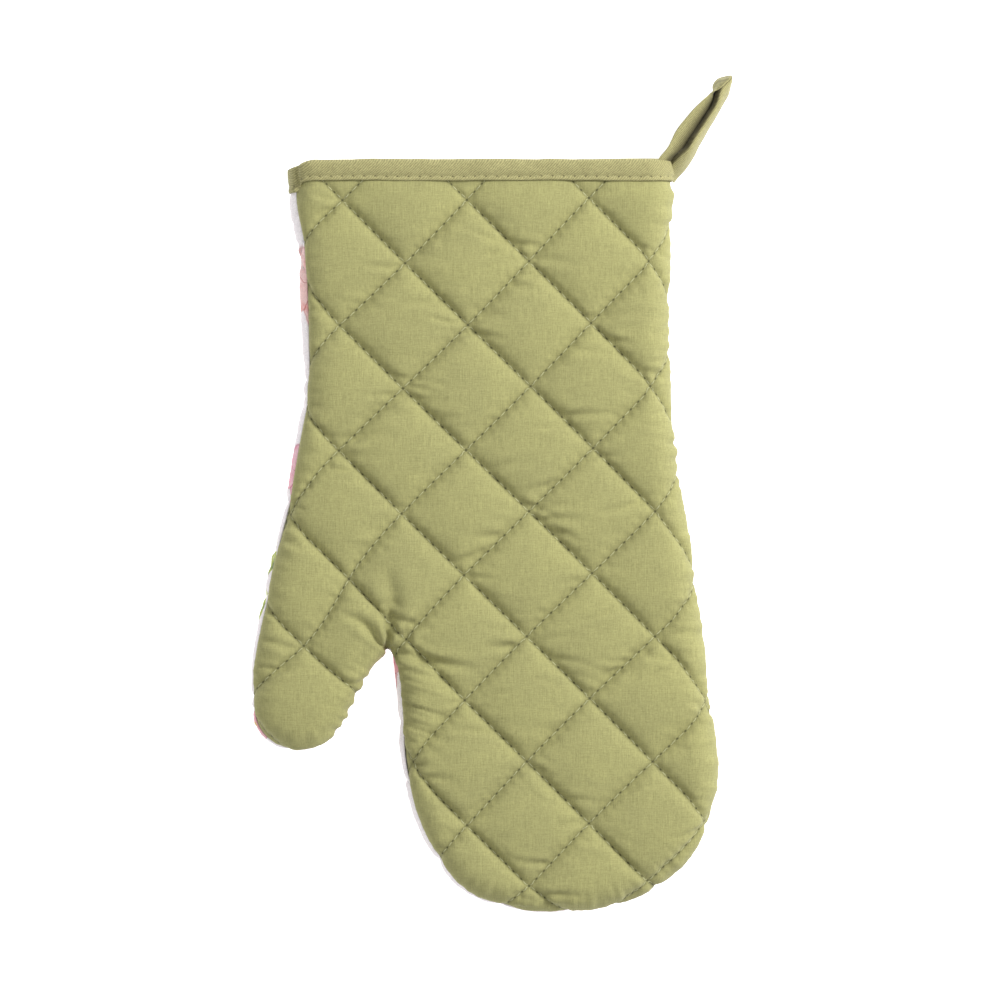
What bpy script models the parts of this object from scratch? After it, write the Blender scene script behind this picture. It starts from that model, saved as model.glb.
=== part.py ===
"""Quilted oven mitt, lying flat on its back panel with the palm panel up.

Two quilted panels (outer cloth, wadding, lining, quilting threads) are sewn together along their side
seam, and a folded strip binds the mouth.  A hanging loop of the same strip comes out of the binding
at one corner and swings there.  Fingers point to -Y, the mouth to +Y, the thumb to -X.
The origin is under the middle of the whole mitt, on the surface that it lies on.
"""

import math

import bmesh
import bpy
from mathutils import Vector
from mathutils.geometry import delaunay_2d_cdt

# All lengths are in millimetres, and MM turns them into Blender's metres.
MM = 0.001

# --- whole mitt ---
THICK = 26.0  # height of the mitt lying flat, over the puffs
EDGE_R = THICK / 2  # the side edges are rounded over at half the height
CLEAR = 0.3  # gap between touching pieces

# --- quilting ---
LINE_SPACING = 38.1  # between parallel quilting lines, which cross at right angles
CROSSING = (-11.0, 126.7)  # one crossing of two lines
SUBDIVISIONS = 3  # panel vertices along one side of a quilted diamond
GROOVE = 4.5  # how deep the quilting pulls the outer cloth down
QUILT_THREAD = 0.6
LATTICE_MARGIN = 6.5  # lattice vertices stay this far inside the rounded edge
LATTICE_REACH = 14  # diamonds counted from the crossing, enough to cover the mitt

# --- layers of a panel, as depths below the envelope of the mitt ---
CLOTH = 0.5
LINING = 0.4
RIM_DEPTH = 0.6  # outer cloth where the rounded edge begins
SEAM_PINCH = 1.2  # outer cloth is pulled in this far at the side seam
WADDING_BACK = 6.8  # inner face of the wadding, and the lining lies behind it
WADDING_SETBACK = 1.5  # the wadding is trimmed back from the side seam
SEAM_THIN = 0.8  # and is this much thinner there, on each face
SEAM_THREAD = 0.8
SEAM_THREAD_DEPTH = 4.5
RIM_STEPS = 3  # facets round the edge, from the flat of a panel to the seam

# --- cuff and binding ---
BINDING_TOP = 143.7
BINDING_EDGE = 133.9  # lower edge of its outer leg
BINDING_INNER_EDGE = 134.9
BINDING_DEPTH = 1.0  # outer face of the binding, below the envelope
TAPE = 0.8  # thickness of the folded strip
BINDING_CHAMFER = 0.6
BINDING_STITCH_Y = 135.5
BINDING_STITCH = 0.6
CUFF_END = BINDING_TOP - TAPE - CLEAR  # where the panels stop inside the binding
CUFF_FLAT = 132.5  # above this the panels are squeezed flat
CUFF_FREE = 127.5  # below this they are not squeezed at all
CUFF_STEPS = 11
CUFF_OUTER = BINDING_DEPTH + TAPE + CLEAR
CUFF_WADDING_BACK = 6.2
BINDING_BACK = CUFF_WADDING_BACK + LINING + TAPE + 2 * CLEAR

# --- hanging loop ---
TAPE_WIDTH = 9.5
TAIL_FOOT = 134.6
TAIL_TOP = BINDING_TOP + 1.0
TAIL_DIP = 2 * TAPE + CLEAR  # the panel gives way this much under the loop's two ends
TAIL_START = 0.75  # where the tails begin on the first facet of the rounded edge
LOOP_START = TAIL_TOP + 1.0
CROWN_WIDTH = 3.6  # inside the fold at the loop's far end

# --- side seam: how far round the edge it lies, from level, by which way the edge faces ---
SEAM_MEAN = 6.0
SEAM_ROLL = 40.0

# The outline seen from above, from the right of the cuff round the fingers and thumb to the left.
OUTLINE = [
    (79.0, CUFF_END),
    (79.0, CUFF_FLAT),
    (78.3, CUFF_FREE),
    (76.5, 95.0),
    (76.8, 62.0),
    (79.9, 22.0),
    (87.0, -33.0),
    (93.5, -78.0),
    (97.7, -115.0),
    (95.0, -137.0),
    (84.5, -156.5),
    (66.0, -171.5),
    (42.0, -180.8),
    (14.0, -180.2),
    (-7.5, -170.0),
    (-23.5, -153.0),
    (-34.0, -129.0),
    (-38.2, -101.0),
    (-39.6, -83.0),
    (-41.4, -72.5),
    (-45.0, -67.2),
    (-49.5, -72.0),
    (-58.0, -86.0),
    (-65.0, -101.5),
    (-74.5, -110.0),
    (-88.0, -109.2),
    (-98.5, -99.5),
    (-103.8, -83.0),
    (-101.0, -58.5),
    (-95.0, -32.0),
    (-86.8, 10.0),
    (-81.0, 48.0),
    (-80.6, 75.0),
    (-84.0, 105.0),
    (-87.8, CUFF_FREE),
    (-88.7, CUFF_FLAT),
    (-88.7, CUFF_END),
]
OUTLINE_STEP = 17.0  # longest side of the outline's polygon

# Edges of the loop's strip, upper edge then lower edge, along the ply nearer the mouth and back
# along the outer ply.  The two plies meet in the crown, which is worked out below.
LOOP_NEAR = [
    ((75.8, 152.4, 22.4), (81.2, 149.4, 15.2)),
    ((82.6, 160.8, 22.0), (88.2, 156.8, 15.4)),
    ((89.4, 168.8, 20.6), (94.4, 164.4, 13.8)),
    ((92.4, 175.4, 18.3), (96.2, 172.6, 10.6)),
]
LOOP_CROWN = ((94.5, 179.45, 17.6), (98.9, 179.45, 9.6))
LOOP_FAR = [
    ((97.8, 171.0, 19.2), (101.4, 169.6, 10.6)),
    ((93.4, 162.6, 20.6), (97.0, 160.6, 12.0)),
    ((89.0, 155.0, 22.0), (92.5, 153.0, 13.4)),
    ((82.6, 149.2, 22.6), (86.0, 147.2, 14.0)),
]
CROWN_AXIS = Vector((0.19, 0.97, 0.10)).normalized()  # the way the crown's fold points

GREEN_CLOTH = (0.415, 0.418, 0.177)
PRINT_CLOTH = (0.83, 0.78, 0.77)
LINING_CLOTH = (0.78, 0.76, 0.70)
WADDING_WHITE = (0.86, 0.86, 0.84)
TAPE_GREEN = (0.445, 0.413, 0.205)
THREAD_GREEN = (0.50, 0.50, 0.28)
THREAD_WHITE = (0.80, 0.79, 0.75)


# --- scene helpers ---


def clear_scene():
    for obj in list(bpy.data.objects):
        bpy.data.objects.remove(obj, do_unlink=True)


def fabric(name, colour, roughness):
    material = bpy.data.materials.new(name)
    material.use_nodes = True
    shader = material.node_tree.nodes["Principled BSDF"]
    shader.inputs["Base Color"].default_value = (*colour, 1.0)
    shader.inputs["Roughness"].default_value = roughness
    shader.inputs["Metallic"].default_value = 0.0
    return material


def add_object(name, bm, material, pivot=Vector((0.0, 0.0, 0.0))):
    """Turn a bmesh in millimetres into one named object with its origin at the pivot."""
    bmesh.ops.recalc_face_normals(bm, faces=bm.faces)
    for vertex in bm.verts:
        vertex.co = (vertex.co - pivot) * MM
    mesh = bpy.data.meshes.new(name)
    bm.to_mesh(mesh)
    bm.free()
    mesh.materials.append(material)
    obj = bpy.data.objects.new(name, mesh)
    obj.location = pivot * MM
    bpy.context.scene.collection.objects.link(obj)
    return obj


def quad(bm, a, b, c, d):
    """Two triangles with a fixed diagonal, so that stacked surfaces keep their distance."""
    bm.faces.new((a, b, c))
    bm.faces.new((a, c, d))


def sweep(sections, closed):
    """A solid with the same ring of points at every section, capped unless it closes on itself."""
    bm = bmesh.new()
    rings = [[bm.verts.new(point) for point in section] for section in sections]
    count = len(rings[0])
    last = len(rings) if closed else len(rings) - 1
    for i in range(last):
        ring, following = rings[i], rings[(i + 1) % len(rings)]
        for j in range(count):
            k = (j + 1) % count
            quad(bm, ring[j], ring[k], following[k], following[j])
    if not closed:
        bm.faces.new(rings[0])
        bm.faces.new(rings[-1])
    return bm


# --- outline and rounded edge ---


def smooth_outline():
    """The outline's polygon: a Catmull-Rom curve through the points, straight at the cuff."""
    points = [Vector(p) for p in OUTLINE]
    path = [points[0]]
    for i in range(1, len(points)):
        a, b = points[i - 1], points[i]
        before = points[i - 2] if i > 1 else a
        after = points[i + 1] if i + 1 < len(points) else b
        steps = max(1, math.ceil((b - a).length / OUTLINE_STEP))
        straight = min(a.y, b.y) >= CUFF_FLAT
        for n in range(1, steps + 1):
            t = n / steps
            if straight or n == steps:
                path.append(a.lerp(b, t))
                continue
            path.append(
                0.5
                * (
                    2 * a
                    + (b - before) * t
                    + (2 * before - 5 * a + 4 * b - after) * t**2
                    + (3 * a - before - 3 * b + after) * t**3
                )
            )
    return path


def outward_normals(path):
    normals = []
    for i, point in enumerate(path):
        if point.y >= CUFF_FLAT:
            normals.append(Vector((math.copysign(1.0, point.x), 0.0)))
            continue
        along = (path[i + 1] - point).normalized() + (point - path[i - 1]).normalized()
        normals.append(Vector((-along.y, along.x)).normalized())
    return normals


def seam_angle(normal):
    """Degrees above level at which the side seam lies on the rounded edge."""
    return SEAM_MEAN - SEAM_ROLL * normal.x


def rim_angles(normal, side):
    """From the flat of the palm (side 1) or back (side -1) panel round to the seam."""
    end = seam_angle(normal)
    start = 90.0 * side
    return [start + (end - start) * j / RIM_STEPS for j in range(RIM_STEPS + 1)]


def rim_point(centre, normal, degrees, depth):
    """A point on the rounded edge, below the envelope by depth."""
    radius = EDGE_R - depth
    angle = math.radians(degrees)
    flat = centre + normal * (radius * math.cos(angle))
    return Vector((flat.x, flat.y, EDGE_R + radius * math.sin(angle)))


PATH = smooth_outline()
NORMALS = outward_normals(PATH)
CENTRES = [p - n * EDGE_R for p, n in zip(PATH, NORMALS)]


# --- quilting lattice ---


def lattice_point(p, q):
    """Plan position of lattice coordinates, in units of the line spacing."""
    step = LINE_SPACING / math.sqrt(2.0)
    return Vector((CROSSING[0] + (p - q) * step, CROSSING[1] - (p + q) * step))


def inside_distance(point, polygon):
    """Distance to the polygon's sides, negative outside it."""
    nearest = math.inf
    inside = False
    for a, b in zip(polygon, polygon[1:] + polygon[:1]):
        along = b - a
        t = max(0.0, min(1.0, (point - a).dot(along) / along.length_squared))
        nearest = min(nearest, (point - a - along * t).length)
        if (a.y > point.y) != (b.y > point.y):
            crossing_x = a.x + (point.y - a.y) / (b.y - a.y) * (b.x - a.x)
            if point.x < crossing_x:
                inside = not inside
    return nearest if inside else -nearest


def lattice_nodes(subdivisions, polygon, ceiling):
    """Integer lattice coordinates (in subdivisions of a diamond's side) inside the flat of a panel."""
    reach = LATTICE_REACH * subdivisions
    nodes = []
    for p in range(-reach, reach + 1):
        for q in range(-reach, reach + 1):
            point = lattice_point(p / subdivisions, q / subdivisions)
            if point.y < ceiling and inside_distance(point, polygon) > LATTICE_MARGIN:
                nodes.append((p, q))
    return nodes


def on_line(index, subdivisions):
    return index % subdivisions == 0


def line_edges(nodes, subdivisions, first):
    """Edges along the quilting lines, between nodes numbered from first."""
    number = {node: first + i for i, node in enumerate(nodes)}
    edges = []
    for p, q in nodes:
        if on_line(p, subdivisions) and (p, q + 1) in number:
            edges.append((number[p, q], number[p, q + 1]))
        if on_line(q, subdivisions) and (p + 1, q) in number:
            edges.append((number[p, q], number[p + 1, q]))
    return edges


# --- the flat of a panel, as one triangulation for every layer ---


class Flat:
    """Plan triangulation inside the rounded edge, fine for quilted faces or coarse for plain ones."""

    def __init__(self, subdivisions):
        self.cuff = [
            CENTRES[-1].lerp(CENTRES[0], i / CUFF_STEPS) for i in range(1, CUFF_STEPS)
        ]
        border = CENTRES + self.cuff
        flat_row = [i for i, c in enumerate(CENTRES) if abs(c.y - CUFF_FLAT) < 0.01]
        right, left = flat_row
        row = [CENTRES[left].lerp(CENTRES[right], i / CUFF_STEPS) for i in range(1, CUFF_STEPS)]
        nodes = lattice_nodes(subdivisions, border, CUFF_FREE)
        quilted = [lattice_point(p / subdivisions, q / subdivisions) for p, q in nodes]
        points = border + row + quilted
        edges = [(i, (i + 1) % len(border)) for i in range(len(border))]
        chain = [left] + [len(border) + i for i in range(len(row))] + [right]
        edges += list(zip(chain, chain[1:]))
        first = len(border) + len(row)
        edges += line_edges(nodes, subdivisions, first)
        result = delaunay_2d_cdt(points, edges, [], 1, 1e-5)
        self.points = result[0]
        self.faces = result[2]
        self.source = [origins[0] for origins in result[3]]
        self.border_count = len(CENTRES)
        self.cuff_start = len(CENTRES)
        self.groove = {}
        for i, (p, q) in enumerate(nodes):
            line = on_line(p, subdivisions) or on_line(q, subdivisions)
            self.groove[first + i] = GROOVE if line else 0.0


FINE = Flat(SUBDIVISIONS)
COARSE = Flat(1)


# --- depths of the layers' faces ---


def squeeze(y):
    """0 where a panel is free, 1 where the binding squeezes it."""
    return max(0.0, min(1.0, (y - CUFF_FREE) / (CUFF_FLAT - CUFF_FREE)))


def under_tails(point, side, rim_step):
    """True at the cuff's right corner of the palm panel, where the loop's ends lie on it."""
    beside = point.x > CENTRES[0].x - 1.0 and point.y > CUFF_FLAT - 0.01
    return side > 0 and beside and rim_step < RIM_STEPS


def outer_face(point, groove, side, rim_step):
    """Depth of the outer cloth's outer face."""
    free = RIM_DEPTH if groove is None else groove
    if rim_step == RIM_STEPS:
        free += SEAM_PINCH
    cuff = CUFF_OUTER + (TAIL_DIP if under_tails(point, side, rim_step) else 0.0)
    blend = squeeze(point.y)
    return free * (1.0 - blend) + cuff * blend


def wadding_back_face(point):
    blend = squeeze(point.y)
    return WADDING_BACK * (1.0 - blend) + CUFF_WADDING_BACK * blend


def outer_at(extra, seam_extra=0.0):
    def depth(point, groove, side, rim_step):
        at_seam = seam_extra if rim_step == RIM_STEPS else 0.0
        return outer_face(point, groove, side, rim_step) + extra + at_seam

    return depth


def inner_at(extra, seam_extra=0.0):
    def depth(point, groove, side, rim_step):
        at_seam = seam_extra if rim_step == RIM_STEPS else 0.0
        return wadding_back_face(point) + extra + at_seam

    return depth


# --- one layer of a panel ---


def panel_face(bm, flat, side, depth, setback):
    """Add one face of a layer to the bmesh and return its border, in order."""
    columns = []
    for centre, normal in zip(CENTRES, NORMALS):
        places = []
        for j, angle in enumerate(rim_angles(normal, side)):
            below = depth(centre, None, side, j)
            places.append(rim_point(centre, normal, angle, below))
        back = (places[-2] - places[-1]).normalized()
        places[-1] += back * setback
        columns.append([bm.verts.new(place) for place in places])
    for left, right in zip(columns, columns[1:]):
        for j in range(RIM_STEPS):
            quad(bm, left[j], left[j + 1], right[j + 1], right[j])
    flat_verts = []
    for place, origin in zip(flat.points, flat.source):
        if origin < flat.border_count:
            flat_verts.append(columns[origin][0])
            continue
        below = depth(place, flat.groove.get(origin), side, 0)
        z = EDGE_R + side * (EDGE_R - below)
        flat_verts.append(bm.verts.new((place.x, place.y, z)))
    for face in flat.faces:
        bm.faces.new([flat_verts[i] for i in face])
    by_source = dict(zip(flat.source, flat_verts))
    cuff = [by_source[flat.cuff_start + i] for i in range(len(flat.cuff))]
    seam = [column[-1] for column in columns]
    left_end = list(reversed(columns[-1][:-1]))
    right_end = columns[0][:-1]
    return seam + left_end + cuff + right_end


def panel_layer(side, outer_depth, outer_flat, inner_depth, inner_flat, setback):
    bm = bmesh.new()
    outer = panel_face(bm, outer_flat, side, outer_depth, setback)
    inner = panel_face(bm, inner_flat, side, inner_depth, setback)
    for i in range(len(outer)):
        k = (i + 1) % len(outer)
        quad(bm, outer[i], outer[k], inner[k], inner[i])
    return bm


def make_panel(name, side, outer_material, wadding_material, lining_material):
    outer = panel_layer(side, outer_at(0.0), FINE, outer_at(CLOTH), FINE, CLEAR / 2)
    add_object(name + "_outer", outer, outer_material)
    wadding_outer = outer_at(CLOTH + CLEAR, SEAM_THIN)
    wadding_back = inner_at(0.0, -SEAM_THIN)
    wadding = panel_layer(side, wadding_outer, FINE, wadding_back, COARSE, WADDING_SETBACK)
    add_object(name + "_wadding", wadding, wadding_material)
    lining = panel_layer(
        side, inner_at(CLEAR), COARSE, inner_at(CLEAR + LINING), COARSE, CLEAR / 2
    )
    add_object(name + "_lining", lining, lining_material)


# --- quilting threads ---


def quilting_runs():
    """Straight runs of quilting line: lists of lattice nodes, crossings and the two ends only."""
    border = CENTRES + FINE.cuff
    nodes = set(lattice_nodes(SUBDIVISIONS, border, CUFF_FREE))
    runs = []
    for swap in (False, True):
        for fixed in range(-14 * SUBDIVISIONS, 14 * SUBDIVISIONS + 1, SUBDIVISIONS):
            run = []
            for free in range(-14 * SUBDIVISIONS, 14 * SUBDIVISIONS + 2):
                node = (free, fixed) if swap else (fixed, free)
                if node in nodes:
                    run.append(node)
                    continue
                if len(run) > 1:
                    ends = (run[0], run[-1])
                    keep = [n for n in run if n in ends or is_crossing(n)]
                    runs.append((swap, keep))
                run = []
    return [run for run in runs if any(is_crossing(n) for n in run[1])]


def is_crossing(node):
    return on_line(node[0], SUBDIVISIONS) and on_line(node[1], SUBDIVISIONS)


def thread_net(z_low, z_high, width):
    """The crossing lines of one quilting thread as a single flat net."""
    bm = bmesh.new()
    half = width / 2 / LINE_SPACING
    corners = {}

    def corner(node, dp, dq):
        key = (node, dp, dq)
        if key not in corners:
            p, q = node[0] / SUBDIVISIONS, node[1] / SUBDIVISIONS
            place = lattice_point(p + dp * half, q + dq * half)
            corners[key] = bm.verts.new((place.x, place.y, z_low))
        return corners[key]

    for node in sorted({n for _, run in quilting_runs() for n in run if is_crossing(n)}):
        square = [corner(node, *offset) for offset in ((-1, -1), (1, -1), (1, 1), (-1, 1))]
        bm.faces.new(square)
    for along_p, run in quilting_runs():
        for a, b in zip(run, run[1:]):
            after_a = 1 if is_crossing(a) else 0
            before_b = -1 if is_crossing(b) else 0
            if along_p:
                strip = ((a, after_a, -1), (b, before_b, -1), (b, before_b, 1), (a, after_a, 1))
            else:
                strip = ((a, -1, after_a), (b, -1, before_b), (b, 1, before_b), (a, 1, after_a))
            bm.faces.new([corner(*place) for place in strip])
    keep_largest_island(bm)
    top = bmesh.ops.extrude_face_region(bm, geom=bm.faces[:])
    for vertex in [v for v in top["geom"] if isinstance(v, bmesh.types.BMVert)]:
        vertex.co.z = z_high
    return bm


def keep_largest_island(bm):
    islands = []
    waiting = set(bm.verts)
    while waiting:
        island = set()
        front = [waiting.pop()]
        while front:
            vertex = front.pop()
            island.add(vertex)
            for edge in vertex.link_edges:
                other = edge.other_vert(vertex)
                if other in waiting:
                    waiting.remove(other)
                    front.append(other)
        islands.append(island)
    islands.sort(key=len)
    spare = [v for island in islands[:-1] for v in island]
    bmesh.ops.delete(bm, geom=spare, context="VERTS")


def make_quilting(name, side, material):
    """Needle thread in the outer grooves, and bobbin thread on the lining, of one panel."""
    slope_lift = CLEAR + QUILT_THREAD / 2 * GROOVE * SUBDIVISIONS / LINE_SPACING
    needle = GROOVE - slope_lift
    bobbin = WADDING_BACK + 2 * CLEAR + LINING
    for label, near, far in (
        ("_quilting_thread", needle, needle - QUILT_THREAD),
        ("_bobbin_thread", bobbin, bobbin + QUILT_THREAD),
    ):
        heights = sorted(EDGE_R + side * (EDGE_R - depth) for depth in (near, far))
        add_object(name + label, thread_net(*heights, QUILT_THREAD), material)


# --- side seam thread ---


def make_seam_thread(material):
    """One thread along the side seam, from cuff to cuff, between the two panels' wadding."""
    curve = bpy.data.curves.new("side_seam_thread", "CURVE")
    curve.dimensions = "3D"
    curve.bevel_depth = SEAM_THREAD / 2 * MM
    curve.bevel_resolution = 0
    curve.use_fill_caps = True
    places = []
    for point, centre, normal in zip(PATH, CENTRES, NORMALS):
        if point.y < CUFF_FLAT:
            places.append(rim_point(centre, normal, seam_angle(normal), SEAM_THREAD_DEPTH))
    spline = curve.splines.new("POLY")
    spline.points.add(len(places) - 1)
    for knot, place in zip(spline.points, places):
        knot.co = (*(place * MM), 1.0)
    curve.materials.append(material)
    obj = bpy.data.objects.new("side_seam_thread", curve)
    bpy.context.scene.collection.objects.link(obj)
    return obj


# --- binding ---


def mouth_stations():
    """Once round the mouth, clockwise from the palm's right: centre, normal and angle."""
    right, left = (CENTRES[0], NORMALS[0]), (CENTRES[-1], NORMALS[-1])
    stations = []
    for (centre, normal), order in ((right, 1), (left, -1)):
        palm = rim_angles(normal, 1)
        back = rim_angles(normal, -1)[:-1]
        down = palm + back[::-1]
        stations += [(centre, normal, angle) for angle in down[::order]]
    return stations


def mouth_ring(profile):
    """Sweep a profile of (depth, y) points once round the mouth."""
    sections = []
    for centre, normal, angle in mouth_stations():
        section = []
        for depth, y in profile:
            place = rim_point(centre, normal, angle, depth)
            section.append((place.x, y, place.z))
        sections.append(section)
    return sweep(sections, closed=True)


def make_binding(material):
    outer, back = BINDING_DEPTH, BINDING_BACK
    fold = BINDING_TOP - TAPE
    profile = [
        (outer, BINDING_EDGE),
        (outer + TAPE, BINDING_EDGE),
        (outer + TAPE, fold),
        (back - TAPE, fold),
        (back - TAPE, BINDING_INNER_EDGE),
        (back, BINDING_INNER_EDGE),
        (back, BINDING_TOP - BINDING_CHAMFER),
        (back - BINDING_CHAMFER, BINDING_TOP),
        (outer + BINDING_CHAMFER, BINDING_TOP),
        (outer, BINDING_TOP - BINDING_CHAMFER),
    ]
    binding = add_object("cuff_binding", mouth_ring(profile), material)
    slit = add_object("binding_slit", tail_solid(fold - 1.0, BINDING_TOP + 1.0, 0.25), material)
    slit.hide_render = True
    slit.display_type = "WIRE"
    cut = binding.modifiers.new("slit for the loop", "BOOLEAN")
    cut.operation = "DIFFERENCE"
    cut.solver = "EXACT"
    cut.object = slit


def make_binding_thread(material):
    near = BINDING_DEPTH - CLEAR
    far = near - BINDING_STITCH
    low, high = BINDING_STITCH_Y, BINDING_STITCH_Y + BINDING_STITCH
    profile = [(near, low), (near, high), (far, high), (far, low)]
    add_object("binding_thread", mouth_ring(profile), material)


# --- hanging loop ---


def tail_line(depth, grow=0.0):
    """The stacked tails' cross-section line, on the facets of the rounded corner, as (x, z)."""
    angles = rim_angles(NORMALS[0], 1)
    corners = [rim_point(CENTRES[0], NORMALS[0], angle, depth) for angle in angles[:3]]
    places = [Vector((c.x, c.z)) for c in corners]
    start = places[0].lerp(places[1], TAIL_START)
    first = (places[1] - start).normalized()
    second = (places[2] - places[1]).normalized()
    rest = TAPE_WIDTH - (places[1] - start).length
    return [start - first * grow, places[1], places[1] + second * (rest + grow)]


def tail_solid(low, high, grow):
    """Both ends of the strip, stacked, as a slab that follows the rounded corner."""
    outer = tail_line(CUFF_OUTER - grow, grow)
    inner = tail_line(CUFF_OUTER + 2 * TAPE + grow, grow)
    outline = outer + inner[::-1]
    return sweep([[(p.x, y, p.y) for p in outline] for y in (low, high)], closed=False)


def ply_root(depth):
    """Upper and lower edge of one ply where the swinging loop begins."""
    upper, _, lower = tail_line(depth)
    return (upper.x, LOOP_START, upper.y), (lower.x, LOOP_START, lower.y)


def crown_edges():
    """The two folded corners of the crown, a flat CROWN_WIDTH apart across the loop."""
    upper, lower = (Vector(p) for p in LOOP_CROWN)
    across = (lower - upper).cross(CROWN_AXIS).normalized()
    shift = across * (CROWN_WIDTH + TAPE)
    return [(upper, lower), (upper + shift, lower + shift)]


def loop_edges():
    near = [ply_root(CUFF_OUTER + 1.5 * TAPE)] + LOOP_NEAR
    far = LOOP_FAR + [ply_root(CUFF_OUTER + 0.5 * TAPE)]
    stations = near + crown_edges() + far
    return [(Vector(upper), Vector(lower)) for upper, lower in stations]


def strip_sections(stations, thickness, width):
    """Rectangles square to the strip at every station, mitred where it turns."""
    middles = [(upper + lower) / 2 for upper, lower in stations]
    sections = []
    for i, (upper, lower) in enumerate(stations):
        before = middles[i] - middles[max(0, i - 1)]
        after = middles[min(len(middles) - 1, i + 1)] - middles[i]
        along = before.normalized() + after.normalized()
        across = (lower - upper).normalized()
        face = along.cross(across).normalized()
        step = after if after.length > 0 else before
        mitre = max(0.5, abs(step.normalized().cross(across).normalized().dot(face)))
        half = face * (thickness / 2 / mitre)
        wide = across * (width / 2)
        centre = middles[i]
        sections.append(
            [centre - wide - half, centre + wide - half, centre + wide + half, centre - wide + half]
        )
    return sections


def hinge():
    """Point and direction of the fold line at the root, between the plies, along their width."""
    upper, _, lower = tail_line(CUFF_OUTER + TAPE)
    middle = (upper + lower) / 2
    along = (lower - upper).normalized()
    y = (TAIL_TOP + LOOP_START) / 2
    return Vector((middle.x, y, middle.y)), Vector((along.x, 0.0, along.y))


def make_loop(material):
    add_object("loop_tails", tail_solid(TAIL_FOOT, TAIL_TOP, 0.0), material)
    pivot, direction = hinge()
    root = bpy.data.objects.new("loop_fold_axis", None)
    root.location = pivot * MM
    root.rotation_mode = "QUATERNION"
    root.rotation_quaternion = Vector((0.0, 0.0, 1.0)).rotation_difference(direction)
    bpy.context.scene.collection.objects.link(root)
    sections = strip_sections(loop_edges(), TAPE, TAPE_WIDTH)
    loop = add_object("hanging_loop", sweep(sections, closed=False), material, pivot)
    bpy.context.view_layer.update()
    loop.parent = root
    loop.matrix_parent_inverse = root.matrix_world.inverted()


def main():
    clear_scene()
    palm_cloth = fabric("palm cotton", GREEN_CLOTH, 0.85)
    back_cloth = fabric("printed cotton", PRINT_CLOTH, 0.85)
    wadding = fabric("heat wadding", WADDING_WHITE, 0.95)
    lining = fabric("lining cotton", LINING_CLOTH, 0.9)
    tape = fabric("binding strip", TAPE_GREEN, 0.85)
    green_thread = fabric("green thread", THREAD_GREEN, 0.6)
    white_thread = fabric("white thread", THREAD_WHITE, 0.6)
    make_panel("palm", 1, palm_cloth, wadding, lining)
    make_panel("back", -1, back_cloth, wadding, lining)
    make_quilting("palm", 1, green_thread)
    make_quilting("back", -1, white_thread)
    make_seam_thread(green_thread)
    make_binding(tape)
    make_binding_thread(green_thread)
    make_loop(tape)


main()
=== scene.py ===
"""Looks of the quilted oven mitt: quilted cloth by simulation, stitches, binding, loop and materials.

Lengths are millimetres in this file and metres in Blender.  The mitt lies with the palm panel up,
the fingers towards -Y, the mouth towards +Y and the thumb towards -X.
"""

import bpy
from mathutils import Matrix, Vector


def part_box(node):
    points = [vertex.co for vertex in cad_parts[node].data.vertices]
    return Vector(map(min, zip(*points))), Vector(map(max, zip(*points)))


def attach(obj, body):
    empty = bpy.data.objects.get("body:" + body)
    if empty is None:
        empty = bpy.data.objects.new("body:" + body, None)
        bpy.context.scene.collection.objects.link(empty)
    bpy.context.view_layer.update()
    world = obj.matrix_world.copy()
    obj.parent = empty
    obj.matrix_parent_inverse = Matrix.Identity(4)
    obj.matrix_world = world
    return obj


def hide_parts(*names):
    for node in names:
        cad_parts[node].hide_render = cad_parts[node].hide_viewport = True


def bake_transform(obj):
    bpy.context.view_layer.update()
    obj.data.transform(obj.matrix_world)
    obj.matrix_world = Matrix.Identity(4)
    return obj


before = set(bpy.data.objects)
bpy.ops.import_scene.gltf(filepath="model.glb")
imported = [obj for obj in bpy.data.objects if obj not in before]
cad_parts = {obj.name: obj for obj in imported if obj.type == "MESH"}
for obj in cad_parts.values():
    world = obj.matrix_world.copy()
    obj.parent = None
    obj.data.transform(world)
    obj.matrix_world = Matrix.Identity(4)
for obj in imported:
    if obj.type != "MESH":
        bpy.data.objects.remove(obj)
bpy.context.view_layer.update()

import math

import bmesh
import bpy
import numpy as np
from mathutils import Vector, noise
from mathutils.bvhtree import BVHTree
from mathutils.geometry import delaunay_2d_cdt

MM = 0.001


def node_box(node):
    """Lowest and highest corner of a CAD node, in millimetres."""
    low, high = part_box(node)
    return Vector(low) / MM, Vector(high) / MM


_, PALM_HIGH = node_box("palm_outer")
BINDING_LOW, BINDING_HIGH = node_box("cuff_binding")

# --- the mitt's shape, as in the CAD ---
EDGE_R = PALM_HIGH.z / 2
CUFF_END = PALM_HIGH.y
CUFF_TOP = BINDING_HIGH.y
CUFF_EDGE = BINDING_LOW.y + 0.9  # the cloth binding ends a little above its CAD slab
LINE_SPACING = 38.1
CROSSING = (-11.0, 126.7)  # where two quilting lines cross, at lattice coordinates (0, 0)
LATTICE_STEP = LINE_SPACING / math.sqrt(2.0)
# The side seam's height on the rounded edge, as an angle in degrees above the middle.
SEAM_MEAN = 6.0
SEAM_ROLL = 17.0  # up on the left and down on the right, by this much
CUFF_ROLL = 12.0  # and by this much more towards the cuff
CROTCH = (-45.0, -67.2)
# The middle line of the gap between thumb and fingers.
NOTCH = [CROTCH, (-48.0, -80.0), (-52.5, -100.0), (-57.0, -114.0), (-62.0, -150.0)]

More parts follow.
